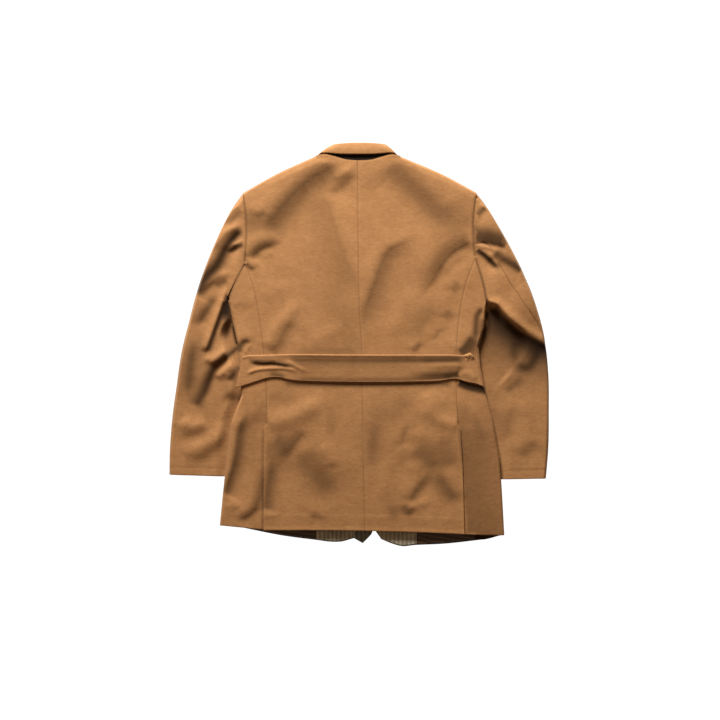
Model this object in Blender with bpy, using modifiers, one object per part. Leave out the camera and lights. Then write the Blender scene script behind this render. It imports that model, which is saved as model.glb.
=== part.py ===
"""A country jacket laid out face down: fronts flat on the surface, back up, sleeves beside the body.

Metres, +Z up. The surface is z = 0, +Y points to the neck, and left and right are as seen from above.
The tables are in millimetres.
"""

import math
from collections import namedtuple

import bmesh
import bpy
import numpy as np

MM = 0.001

# Cloth, in millimetres
WOOL = 2.4
FACING = 1.6
FELT = 2.0
SEAM = 0.3
BELT_CLEARANCE = 0.7

# Heights of the layers, in millimetres
SIDE_LIFT = 7.2
SLEEVE_EDGE = 6.4
SLEEVE_RISE = 34.0
SHOULDER_EDGE = 2 * WOOL + SEAM
SHOULDER_ROUND = 18.0
BUTTON_HEIGHT = 3.6
BUTTON_RADIUS = 11.0
BUTTON_LIFT = BUTTON_HEIGHT + SEAM
OVERLAP_LIFT = WOOL + 3 * SEAM
NECK_SETBACK = 2.0
THROAT_DROP = 3.0
STRIP_INSET = 2.2

# Zones of the back, as shares of the way from its middle to its edge, and where its folds die out
FLANK_ZONE = (0.12, 0.5)
RIM_ZONE = (0.55, 0.9)
CALM_EDGE = 0.1
CALM_SHOULDER = 30.0
SHOULDER_SLOPE = 0.46

# How far the side panels reach under the body, and how deep the back laps them at the vents
SIDE_UNDER = 46.0
SIDE_UNDER_AT_ARMPIT = 14.0
VENT_LAP = 7.0
VENT_UNDERLAP = 10.0
VENT_DIP = WOOL + 2 * SEAM
VENT_DIP_ZONE = (0.15, 0.6)
SIDE_FLAT_SHARE = 0.36
SIDE_TURN_ANGLES = (50, 0, -50, -90)
SIDE_UNDER_SHARES = (0.4, 0.7, 1.0)

# Number of grid steps
ARMHOLE_LOW_STEPS = 4
ARMHOLE_HIGH_STEPS = 6
ARMHOLE_STEPS = ARMHOLE_LOW_STEPS + ARMHOLE_HIGH_STEPS
NECK_STEPS = 4
SHOULDER_STEPS = 5
SLEEVE_ROWS = 16
FRONT_COLUMNS = 9
UPPER_SLEEVE_COLUMNS = 13
LOWER_SLEEVE_COLUMNS = 20
TAB_ROWS = 3
STRIP_ROWS = 4
STRIP_COLUMNS = 6
CURVE_SAMPLES = 400

# Rows of the panels, from the hem up to the bottom of the armhole
VENT_TOP = -160.0
VENT_DIP_START = VENT_TOP + 14
VENT_STEP_END = VENT_TOP - 7
ARMPIT_ROW = 16.0
SIDE_ROWS = (-340, -290, -235, -190, VENT_STEP_END, VENT_TOP, VENT_DIP_START, -105, -62, -22, 20, 62, 112)

# One row for each section across the body: its edges, and its height at the middle, the flank and the edge
Section = namedtuple("Section", "y left right middle flank rim")
SECTIONS = (
    Section(-395, -288, 299, 9.8, 9.8, 14.4),
    Section(-303, -279, 294, 11.4, 11.2, 14.8),
    Section(-232, -271, 289, 12.6, 12.0, 15.0),
    Section(-160, -262, 276, 13.4, 12.6, 15.2),
    Section(-104, -241, 261, 13.4, 12.6, 15.2),
    Section(-50, -245, 251, 13.4, 12.6, 15.0),
    Section(-4, -248, 246, 13.4, 12.6, 15.0),
    Section(36, -257, 257, 13.6, 12.8, 15.0),
    Section(92, -269, 263, 13.8, 13.2, 14.6),
    Section(166, -258, 258, 14.2, 13.8, 14.4),
    Section(300, -250, 252, 14.4, 14.6, 14.8),
    Section(400, -250, 252, 14.0, 14.6, 14.8),
)

# Seams and edges of each half of the body as seen from above: those that run up start at the hem, the
# others at the middle. sign is -1 on the left and 1 on the right, side_hem is the hem's height at the edge
CENTRE_BACK = ((12, -382), (7, -83), (6, -8), (0, 107), (-3, 378))
OUTLINE_COLUMNS = "sign edge side_hem seam low_armhole high_armhole hem neck shoulder front front_hem"
Outline = namedtuple("Outline", OUTLINE_COLUMNS)
LEFT_OUTLINE = Outline(
    sign=-1,
    edge="left",
    side_hem=-371,
    seam=((-190, -381), (-190, -251), (-189, -164), (-190, -95),
          (-196, -8), (-208, 74), (-217, 119), (-234, 166)),
    low_armhole=((-269, 92), (-253, 131), (-234, 166)),
    high_armhole=((-234, 166), (-231, 221), (-232, 265), (-239, 312)),
    hem=((12, -382), (-84, -381), (-200, -380)),
    neck=((-3, 378), (-55, 381), (-89, 387)),
    shoulder=((-89, 387), (-168, 352), (-239, 312)),
    front=((-10.5, -398), (-2.5, -374), (5.5, -345), (14, -250),
           (22, -150), (22, 60), (22, 250), (22, 318)),
    front_hem=((-10.5, -398), (-44, -406), (-84, -402), (-160, -392), (-238, -376)),
)
RIGHT_OUTLINE = Outline(
    sign=1,
    edge="right",
    side_hem=-391,
    seam=((212, -389), (208, -251), (203, -164), (200, -89),
          (200, -14), (205, 50), (217, 116), (239, 178)),
    low_armhole=((263, 84), (254, 130), (239, 178)),
    high_armhole=((239, 178), (235, 221), (236, 265), (242, 313)),
    hem=((12, -382), (118, -385), (223, -389)),
    neck=((-3, 378), (50, 381), (84, 387)),
    shoulder=((84, 387), (169, 352), (242, 313)),
    front=((46, -400), (31, -384), (18, -330), (0, -235),
           (-18, -150), (-18, 60), (-18, 250), (-18, 318)),
    front_hem=((46, -400), (84, -414), (118, -412), (181, -408), (252, -396)),
)
TAB_EDGE = ((8, -408.5), (28, -384.5), (19, -360), (10, -345))

# Strips on the inside of the fronts, near the hem, between two places across it
Strip = namedtuple("Strip", "side inner outer reach finish")
STRIPS = {
    "facing_left": Strip("left", 0.03, 0.34, 110, "tweed"),
    "lining_left": Strip("left", 0.345, 0.93, 110, "lining"),
    "facing_right": Strip("right", 0.03, 0.36, 110, "tweed"),
    "lining_right": Strip("right", 0.365, 0.93, 110, "lining"),
}

# One row for each section of a sleeve, from the armhole to the cuff: its two edges, its height, and how far
# from the inner edge it stays low, where it lies under the body
Cut = namedtuple("Cut", "outer_x outer_y inner_x inner_y crown tuck")
SLEEVE_LEFT = (
    Cut(-239, 312, -246, 143, 14.6, 0),
    Cut(-262, 278, -257, 127, 15.0, 1),
    Cut(-290, 223, -265, 108, 15.2, 3),
    Cut(-318, 155, -270.5, 86, 15.5, 12),
    Cut(-336, 100, -254, 46, 15.0, 24),
    Cut(-345, 66, -239, -6, 14.5, 27),
    Cut(-365, -15, -233, -62, 15.0, 27),
    Cut(-376, -90, -231, -112, 14.5, 27),
    Cut(-384, -150, -249, -160, 14.0, 27),
    Cut(-389, -215, -257, -220, 13.5, 27),
    Cut(-390, -267, -264, -271, 12.5, 27),
)
SLEEVE_RIGHT = (
    Cut(242, 313, 248, 150, 14.6, 0),
    Cut(265, 281, 256, 134, 15.0, 1),
    Cut(297, 228, 261, 110, 15.2, 3),
    Cut(323, 180, 265, 82, 15.5, 12),
    Cut(342, 140, 250, 42, 15.0, 24),
    Cut(357, 108, 236, -6, 14.5, 27),
    Cut(383, 20, 240, -62, 15.0, 27),
    Cut(390, -60, 250, -112, 14.5, 27),
    Cut(391, -140, 264, -160, 14.0, 27),
    Cut(390, -210, 275, -218, 13.5, 27),
    Cut(385, -275, 279, -277, 12.5, 27),
)

# Where a sleeve's two seams run round it: 0 is the inner edge, 1 the outer edge, 2 the inner edge again.
# The outer seam is under the outer edge, but on the right sleeve it starts on top, at the armhole
SeamPlace = namedtuple("SeamPlace", "row around")
INNER_SEAM = 1.84
OUTER_SEAM = {
    -1: (SeamPlace(0.0, 1.08), SeamPlace(1.0, 1.08)),
    1: (SeamPlace(0.0, 0.36), SeamPlace(0.08, 0.48), SeamPlace(0.14, 0.545), SeamPlace(0.25, 0.57),
        SeamPlace(0.355, 0.62), SeamPlace(0.48, 0.73), SeamPlace(0.54, 0.81), SeamPlace(0.59, 0.905),
        SeamPlace(0.66, 1.08), SeamPlace(1.0, 1.08)),
}
SLEEVE_SEAM = 0.006
SLEEVE_SEAM_ON_TOP = 0.0008
ARMHOLE_START = 0.27
ARMHOLE_BLEND = 0.13
INNER_SHIFT = 0.5

# The largest folds: a soft ridge or trough along a line
Fold = namedtuple("Fold", "x0 y0 x1 y1 width rise")
BODY_FOLDS = (
    Fold(-45, 374, -115, 340, 20, 2.5),
    Fold(120, 218, 31, 119, 22, 3.0),
    Fold(150, 196, 60, 40, 26, -0.6),
    Fold(222, 205, 160, 110, 22, 2.6),
    Fold(-210, 200, -165, 214, 20, 2.4),
    Fold(-170, -8, -100, 60, 22, 2.2),
    Fold(-244, -140, -266, -300, 20, 2.0),
    Fold(90, -190, 112, -310, 28, 2.2),
    Fold(-95, -190, -130, -330, 30, 1.8),
)
LEFT_SLEEVE_FOLDS = (
    Fold(-232, 250, -300, 196, 20, 3.0),
    Fold(-238, 230, -322, 122, 20, -3.0),
    Fold(-275, 100, -332, 20, 24, 2.6),
    Fold(-300, 40, -340, -120, 20, -2.6),
    Fold(-250, -32, -312, -66, 18, 2.8),
    Fold(-372, -172, -300, -170, 20, -1.8),
    Fold(-268, -200, -345, -246, 20, -1.8),
)
RIGHT_SLEEVE_FOLDS = (
    Fold(245, 232, 302, 206, 18, -2.6),
    Fold(240, 206, 308, 190, 18, 2.6),
    Fold(262, 176, 352, 92, 24, 2.6),
    Fold(268, 84, 384, -8, 26, -3.2),
    Fold(292, -98, 342, -72, 24, 2.0),
    Fold(326, -221, 374, -196, 22, -1.6),
)

# The belt: its two edges from left to right, and how far they stand off the back
Belt = namedtuple("Belt", "x top bottom lift_top lift_bottom")
BELT = (
    Belt(-251, -40, -88, 0.0, 0.0),
    Belt(-238, -24, -84, 0.0, 0.8),
    Belt(-213, -21, -78, 0.0, 0.8),
    Belt(-189, -20, -70, 0.0, 0.2),
    Belt(-165, -19, -66, 0.8, 0.8),
    Belt(-120, -19, -74, 1.2, 2.2),
    Belt(8, -20, -77, 0.8, 2.6),
    Belt(148, -20, -75, 0.8, 2.2),
    Belt(196, -21, -70, 0.0, 0.2),
    Belt(222, -25, -78, 0.0, 1.2),
    Belt(246, -34, -82, 0.0, 1.4),
    Belt(259, -56, -95, 0.0, 0.4),
)
BELT_STEPS = 26
BELT_COLUMNS = 4
BELT_THICKNESS = 2.6

# The collar's fall from its left point, round the back, to its right point: roll line, free edge, and how
# the cloth faces: 1 is up, 0 is outward at the fold, -1 is down on the surface
Fall = namedtuple("Fall", "roll_x roll_y roll_z edge_x edge_y edge_z facing")
COLLAR_FALL = (
    Fall(-8, 322, 0.0, -58, 304, 0.0, -1.0),
    Fall(-30, 368, 0.0, -82, 348, 0.0, -1.0),
    Fall(-46, 402, 0.0, -86, 384, 0.0, -1.0),
    Fall(-52, 411.5, 6.0, -82, 393, 9.0, 0.0),
    Fall(-44, 413, 11.5, -72, 394.5, 18.0, 0.9),
    Fall(-22, 414.5, 12.5, -38, 391.5, 21.0, 1.0),
    Fall(2, 415, 12.5, -2, 391, 22.0, 1.0),
    Fall(26, 414.5, 12.5, 34, 391.5, 21.0, 1.0),
    Fall(47, 413, 11.5, 66, 394.5, 18.0, 0.9),
    Fall(55, 411.5, 6.0, 77, 393, 9.0, 0.0),
    Fall(48, 402, 0.0, 80, 384, 0.0, -1.0),
    Fall(32, 368, 0.0, 77, 348, 0.0, -1.0),
    Fall(12, 322, 0.0, 54, 304, 0.0, -1.0),
)
FALL_STEPS = 24
LEAF_STEPS = 4
FALL_COLUMNS = 4

# The collar's stand, from left to right: the neck seam and its top edge under the fall
Stand = namedtuple("Stand", "neck_x neck_y top_x top_y top_z")
COLLAR_STAND = (
    Stand(-80, 385.6, -66, 392, 9.6),
    Stand(-58, 381.6, -44, 402, 9.2),
    Stand(-30, 379.2, -24, 408, 9.2),
    Stand(-3, 378.4, 1, 409, 9.2),
    Stand(24, 379.2, 25, 408, 9.2),
    Stand(52, 381.6, 43, 402, 9.2),
    Stand(75, 385.6, 61, 392, 9.6),
)
STAND_STEPS = 14
STAND_COLUMNS = 3
STAND_GAP = 0.8
NECK_CENTRE = (0.0, 390.0)

BUTTON_PLACES = ((2, 205), (2, 75), (2, -55))
BUTTON_SIDES = 16
BUTTON_BEVEL = 0.6

# Where the raised edges of the closed fronts fade to the surface
PLACKET_LEFT = (-118, -66)
PLACKET_RIGHT = (66, 122)
PLACKET_END = (-235, -160)
PLACKET_TOP = (252, 300)
OVERLAP_END = (-385, -322)
OVERLAP_TOP = (314, 345)

# Colour, roughness and metallic value of each finish
Finish = namedtuple("Finish", "colour roughness metallic")
FINISHES = {
    "camel": Finish((0.46, 0.22, 0.09), 0.9, 0.0),
    "felt": Finish((0.03, 0.018, 0.012), 0.95, 0.0),
    "tweed": Finish((0.16, 0.12, 0.07), 0.9, 0.0),
    "lining": Finish((0.06, 0.03, 0.018), 0.45, 0.0),
    "horn": Finish((0.05, 0.025, 0.012), 0.35, 0.0),
}


# Curves and patches

def smooth(value, low=0.0, high=1.0):
    """Eases from 0 to 1 as value goes from low to high."""
    part = np.clip((np.asarray(value, float) - low) / (high - low), 0.0, 1.0)
    return part * part * (3 - 2 * part)


def through(points, count, fine=24):
    """Returns count points, evenly spaced by length, on a soft curve through the points given."""
    knots = np.asarray(points, float)
    knots = np.vstack([2 * knots[0] - knots[1], knots, 2 * knots[-1] - knots[-2]])
    runs = []
    for before, start, end, after in zip(knots, knots[1:], knots[2:], knots[3:]):
        part = np.linspace(0, 1, fine, endpoint=False)[:, None]
        bend = (2 * before - 5 * start + 4 * end - after) * part ** 2
        twist = (3 * start - before - 3 * end + after) * part ** 3
        runs.append(start + 0.5 * ((end - before) * part + bend + twist))
    line = np.vstack(runs + [knots[-2:-1]])
    length = np.concatenate([[0], np.cumsum(np.linalg.norm(np.diff(line, axis=0), axis=1))])
    places = np.linspace(0, length[-1], count)
    return np.column_stack([np.interp(places, length, column) for column in line.T])


def at_heights(points, heights):
    """Returns points of a curve that rises in y, at the heights given."""
    line = through(points, CURVE_SAMPLES)
    return np.column_stack([np.interp(heights, line[:, 1], line[:, 0]), heights])


def patch(bottom, top, left, right):
    """Fills four edges that share their corners with rows of points, as a Coons patch."""
    lengths = np.linalg.norm(np.diff(left, axis=0), axis=1) + np.linalg.norm(np.diff(right, axis=0), axis=1)
    v = (np.concatenate([[0], np.cumsum(lengths)]) / lengths.sum())[:, None, None]
    u = np.linspace(0, 1, len(bottom))[None, :, None]
    across = (1 - u) * left[:, None] + u * right[:, None]
    along = (1 - v) * bottom[None] + v * top[None]
    ends = (1 - v) * ((1 - u) * bottom[0] + u * bottom[-1]) + v * ((1 - u) * top[0] + u * top[-1])
    return across + along - ends


def spread(rows, count):
    """Returns count soft sections between the rows of a table."""
    table = np.asarray([tuple(row) for row in rows], float)
    places = np.linspace(0, len(table) - 1, count)
    return curve_at(table, places)


def curve_at(table, places):
    """Reads a table's columns at places between its rows, on soft curves through them."""
    knots = np.concatenate([2 * table[:1] - table[1:2], table, 2 * table[-1:] - table[-2:-1]])
    index = np.clip(np.floor(places).astype(int), 0, len(table) - 2)
    part = (places - index).reshape((-1,) + (1,) * (table.ndim - 1))
    before, start, end, after = (knots[index + step] for step in range(4))
    bend = (2 * before - 5 * start + 4 * end - after) * part ** 2
    twist = (3 * start - before - 3 * end + after) * part ** 3
    return start + 0.5 * ((end - before) * part + bend + twist)


def fold_heights(folds, x, y):
    """Adds up the folds' heights at the places given."""
    total = np.zeros_like(x)
    for fold in folds:
        run = np.array([fold.x1 - fold.x0, fold.y1 - fold.y0])
        length = np.linalg.norm(run)
        along = ((x - fold.x0) * run[0] + (y - fold.y0) * run[1]) / length
        aside = ((y - fold.y0) * run[0] - (x - fold.x0) * run[1]) / length
        past = np.maximum(np.maximum(-along, along - length), 0)
        total += fold.rise * np.exp(-(aside ** 2 + past ** 2) / fold.width ** 2)
    return total


# The body's form

def section_column(name, y):
    """Reads one column of the body's sections at the heights given."""
    heights = [section.y for section in SECTIONS]
    return np.interp(y, heights, [getattr(section, name) for section in SECTIONS])


def shoulder_distance(x, y):
    """Returns how far places lie below the shoulder line."""
    left = LEFT_OUTLINE.shoulder
    right = RIGHT_OUTLINE.shoulder
    line = np.vstack([through(left, CURVE_SAMPLES)[::-1], through(right, CURVE_SAMPLES)])
    crest = np.interp(x, line[:, 0], line[:, 1])
    on_neck = (x > left[0][0]) & (x < right[0][0])
    slope = math.hypot(1, SHOULDER_SLOPE)
    return np.where(on_neck, SHOULDER_ROUND, np.maximum(crest - y, 0) / slope)


def back_height(x, y):
    """Returns the height of the back's upper face."""
    x, y = np.broadcast_arrays(np.asarray(x, float), np.asarray(y, float))
    centre = np.interp(y, [p[1] for p in CENTRE_BACK], [p[0] for p in CENTRE_BACK])
    half = np.where(x < centre, centre - section_column("left", y), section_column("right", y) - centre)
    share = np.abs(x - centre) / half
    middle, flank, rim = (section_column(name, y) for name in ("middle", "flank", "rim"))
    height = middle + (flank - middle) * smooth(share, *FLANK_ZONE)
    height = height + (rim - flank) * smooth(share, *RIM_ZONE)
    calm = smooth(shoulder_distance(x, y), 0, CALM_SHOULDER) * smooth(1 - share, 0, CALM_EDGE)
    height = height + calm * fold_heights(BODY_FOLDS, x, y)
    drop = np.sin(0.5 * math.pi * np.clip(shoulder_distance(x, y) / SHOULDER_ROUND, 0, 1))
    return SHOULDER_EDGE + (height - SHOULDER_EDGE) * drop


def with_height(plan, height):
    """Joins plan points and heights."""
    return np.concatenate([plan, np.broadcast_to(height, plan.shape[:-1])[..., None]], axis=-1)


def lowered(points, depth):
    """Returns the points moved down."""
    return points - np.array([0.0, 0.0, depth])


class BodySide:
    """The seams and edges of one half of the body, with the points that its panels share."""

    def __init__(self, outline):
        self.outline = outline
        self.sign = outline.sign
        rows = np.array(SIDE_ROWS, float)
        seam = outline.seam
        self.rows = np.concatenate([[seam[0][1]], rows, [seam[-1][1]]])
        self.seam = np.vstack([seam[0], at_heights(seam, rows), seam[-1]])
        low = through(outline.low_armhole, ARMHOLE_LOW_STEPS + 1)
        high = through(outline.high_armhole, ARMHOLE_HIGH_STEPS + 1)
        self.armhole = np.vstack([low, high[1:]])
        self.armpit = self.armhole[0, 1]
        self.hem = through(outline.hem, NECK_STEPS + SHOULDER_STEPS + 1)
        neck = through(outline.neck, NECK_STEPS + 1)
        shoulder = through(outline.shoulder, SHOULDER_STEPS + 1)
        self.top = np.vstack([neck, shoulder[1:]])

    def edge(self, heights):
        """Returns the body's edge at the heights given."""
        return np.column_stack([section_column(self.outline.edge, heights), heights])

    def reach(self, heights):
        """Returns how far the side panel reaches under the body at the heights given."""
        return np.interp(heights, [0, self.armpit], [SIDE_UNDER, SIDE_UNDER_AT_ARMPIT])

    def shifted(self, points, distance):
        """Moves points away from the middle of the body."""
        return points + np.array([self.sign * distance, 0.0])

    def back_edge(self):
        """Returns the back's outer edge: the vent, which laps the side panel, the seam and the armhole."""
        lap = VENT_LAP * (self.rows <= VENT_STEP_END)
        seam = self.seam + np.column_stack([self.sign * (lap - SEAM / 2), np.zeros_like(lap)])
        armhole = self.shifted(self.armhole[ARMHOLE_LOW_STEPS + 1:], -SEAM / 2)
        return np.vstack([seam, armhole])


LEFT = BodySide(LEFT_OUTLINE)
RIGHT = BodySide(RIGHT_OUTLINE)


# Building the solids

def make_material(name, finish):
    """Makes a plain material for one piece."""
    material = bpy.data.materials.new(name)
    material.use_nodes = True
    shader = material.node_tree.nodes["Principled BSDF"]
    shader.inputs["Base Color"].default_value = (*finish.colour, 1.0)
    shader.inputs["Roughness"].default_value = finish.roughness
    shader.inputs["Metallic"].default_value = finish.metallic
    return material


def add_object(name, form, finish):
    """Turns a mesh form into a named object of the jacket."""
    mesh = bpy.data.meshes.new(name)
    form.to_mesh(mesh)
    form.free()
    mesh.materials.append(make_material(name, FINISHES[finish]))
    piece = bpy.data.objects.new(name, mesh)
    bpy.data.collections["country_jacket"].objects.link(piece)
    return piece


def add_sheet(form, points):
    """Adds a grid of cells whose corners are the rows of points given."""
    rows, columns = points.shape[:2]
    grid = bmesh.ops.create_grid(form, x_segments=columns - 1, y_segments=rows - 1, size=1.0)
    for vertex, place in zip(grid["verts"], points.reshape(-1, 3)):
        vertex.co = place * MM


def add_cloth(name, outer, inner, finish="camel"):
    """Makes a wall of cloth between two sheets of points and closes it all round its edge."""
    form = bmesh.new()
    add_sheet(form, outer)
    add_sheet(form, inner)
    rim = [edge for edge in form.edges if edge.is_boundary]
    bmesh.ops.bridge_loops(form, edges=rim)
    bmesh.ops.recalc_face_normals(form, faces=form.faces)
    return add_object(name, form, finish)


# The back and the side panels

def make_back(name, side):
    """Makes one half of the back."""
    outer_edge = side.back_edge()
    armhole_rows = np.linspace(side.rows[-1], side.top[0, 1], ARMHOLE_HIGH_STEPS + 1)[1:]
    centre_rows = np.concatenate([CENTRE_BACK[0][1:], side.rows[1:], armhole_rows])
    inner_edge = side.shifted(at_heights(CENTRE_BACK, centre_rows), SEAM / 2)
    bottom = through(np.vstack([inner_edge[0], side.hem[1:-1], outer_edge[0]]), len(side.hem))
    top = np.vstack([inner_edge[-1], side.top[1:-1], outer_edge[-1]])
    plan = patch(bottom, top, inner_edge, outer_edge)
    points = with_height(plan, back_height(plan[..., 0], plan[..., 1]))
    add_cloth(name, points, lowered(points, WOOL))


def side_profile(depth, reach, wall):
    """Returns the underside's height at a distance from the body's edge."""
    return wall + SIDE_LIFT * (1 - smooth(depth, SIDE_FLAT_SHARE * reach, reach))


def side_points(side, inset):
    """Returns the rows of points of a side panel: over the top, round its edge and back underneath."""
    armpit_rows = [side.armpit - ARMPIT_ROW, side.armpit]
    edge_rows = np.concatenate([[side.outline.side_hem], SIDE_ROWS[:-1], armpit_rows])
    edge = side.edge(edge_rows)
    half = 0.5 * (back_height(*edge.T) - SIDE_LIFT)
    turn = half - inset
    inner = side.seam.copy()
    lap = VENT_UNDERLAP * (side.rows <= VENT_STEP_END)
    inner[:, 0] += side.sign * (SEAM / 2 - lap)
    brim = edge - side.sign * np.column_stack([half, np.zeros_like(half)])
    bottom = through(np.vstack([inner[0], brim[0]]), ARMHOLE_LOW_STEPS + 1)
    lip = side.shifted(side.armhole[:ARMHOLE_LOW_STEPS + 1][::-1], -SEAM)
    top = np.vstack([inner[-1], lip[1:-1], brim[-1]])
    plan = patch(bottom, top, inner, brim)
    dip = VENT_DIP * smooth(-side.rows, -VENT_DIP_START, -VENT_TOP)[:, None]
    share = np.linspace(0, 1, plan.shape[1])[None, :]
    height = back_height(plan[..., 0], plan[..., 1]) - dip * (1 - smooth(share, *VENT_DIP_ZONE)) - inset
    over = with_height(plan, height)
    around = []
    for angle in SIDE_TURN_ANGLES:
        bend = math.radians(angle)
        depth = half - turn * math.cos(bend)
        middle = over[:, -1, 2] - turn
        height = middle + turn * math.sin(bend)
        around.append(np.column_stack([edge[:, 0] - side.sign * depth, edge[:, 1], height]))
    reach = side.reach(edge[:, 1])
    under = []
    for part in SIDE_UNDER_SHARES:
        depth = half + (reach - half) * part
        height = side_profile(depth, reach, inset)
        under.append(np.column_stack([edge[:, 0] - side.sign * depth, edge[:, 1], height]))
    return np.concatenate([over, np.stack(around + under, axis=1)], axis=1)


def make_side(name, side):
    """Makes a side panel, which turns round the body's edge to the seam of the front."""
    add_cloth(name, side_points(side, 0.0), side_points(side, WOOL))


# The fronts, and what lies on their inside

def front_lift(side, x, y):
    """Returns how far a front is raised by the buttons and by the other front."""
    placket = BUTTON_LIFT * smooth(y, *PLACKET_END) * (1 - smooth(y, *PLACKET_TOP))
    if side.sign < 0:
        return placket * smooth(x, *PLACKET_LEFT)
    overlap = OVERLAP_LIFT * smooth(y, *OVERLAP_END) * (1 - smooth(y, *OVERLAP_TOP))
    return (placket + overlap) * (1 - smooth(x, *PLACKET_RIGHT))


def front_plan(side):
    """Returns the rows of a front, from the front edge to the side seam, hem to shoulder."""
    front, hem = side.outline.front, side.outline.front_hem
    leaf = spread(COLLAR_FALL, FALL_STEPS + 1)[::-side.sign, 3:5][:LEAF_STEPS + 1]
    leaf = leaf + np.array([side.sign, -1.0]) * 2 * SEAM
    rows = np.array([hem[-1][1]] + [row for row in SIDE_ROWS if row < side.armpit], float)
    seam = side.edge(rows)
    seam[:, 0] -= side.sign * (side.reach(rows) + SEAM)
    outer = np.vstack([seam, side.shifted(side.armhole[1:], -SEAM)])
    bottom = through(np.vstack([hem[:-1], seam[0]]), FRONT_COLUMNS + 1)
    throat = np.array([front[-1][0], leaf[0, 1] - THROAT_DROP])
    shoulder = np.linspace(leaf[-1], outer[-1], FRONT_COLUMNS - LEAF_STEPS)
    top = np.vstack([throat, leaf, shoulder[1:]])
    inner = through(np.vstack([front[:-1], throat]), len(outer))
    return patch(bottom, top, inner, outer)


def make_front(name, side):
    """Makes a front, flat on the surface but for its buttoned edge."""
    plan = front_plan(side)
    points = with_height(plan, front_lift(side, plan[..., 0], plan[..., 1]))
    add_cloth(name, points + np.array([0, 0, WOOL]), points)


def make_strip(name, strip):
    """Makes a strip of facing or lining on the inside of a front, along its hem."""
    side = LEFT if strip.side == "left" else RIGHT
    plan = front_plan(side)
    columns = np.linspace(strip.inner, strip.outer, STRIP_COLUMNS) * (plan.shape[1] - 1)
    hem = curve_at(plan[0], columns)
    reach = np.linspace(STRIP_INSET, STRIP_INSET + strip.reach, STRIP_ROWS)
    plan = hem[None] + reach[:, None, None] * np.array([0.0, 1.0])
    points = with_height(plan, front_lift(side, plan[..., 0], plan[..., 1]) + WOOL + SEAM)
    add_cloth(name, points + np.array([0, 0, FACING]), points, strip.finish)


def make_tab():
    """Makes the square-cornered tab between the fronts at the hem."""
    left_edge = front_plan(LEFT)[:TAB_ROWS, 0] + np.array([2 * SEAM, 0.0])
    right_edge = through(TAB_EDGE, TAB_ROWS)
    share = np.linspace(0, 1, TAB_ROWS)[None, :, None]
    plan = (1 - share) * left_edge[:, None] + share * right_edge[:, None]
    points = with_height(plan, 0.0)
    add_cloth("front_tab", points + np.array([0, 0, FACING]), points, "tweed")


def make_button(name, place):
    """Makes a plain round button that lies under the closed fronts."""
    form = bmesh.new()
    bmesh.ops.create_cone(form, cap_ends=True, segments=BUTTON_SIDES, radius1=BUTTON_RADIUS * MM,
                          radius2=BUTTON_RADIUS * MM, depth=BUTTON_HEIGHT * MM)
    button = add_object(name, form, "horn")
    button.location = (place[0] * MM, place[1] * MM, 0.5 * BUTTON_HEIGHT * MM)
    bevel = button.modifiers.new("rounded edge", "BEVEL")
    bevel.width = BUTTON_BEVEL * MM
    bevel.segments = 1


# The sleeves

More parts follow.
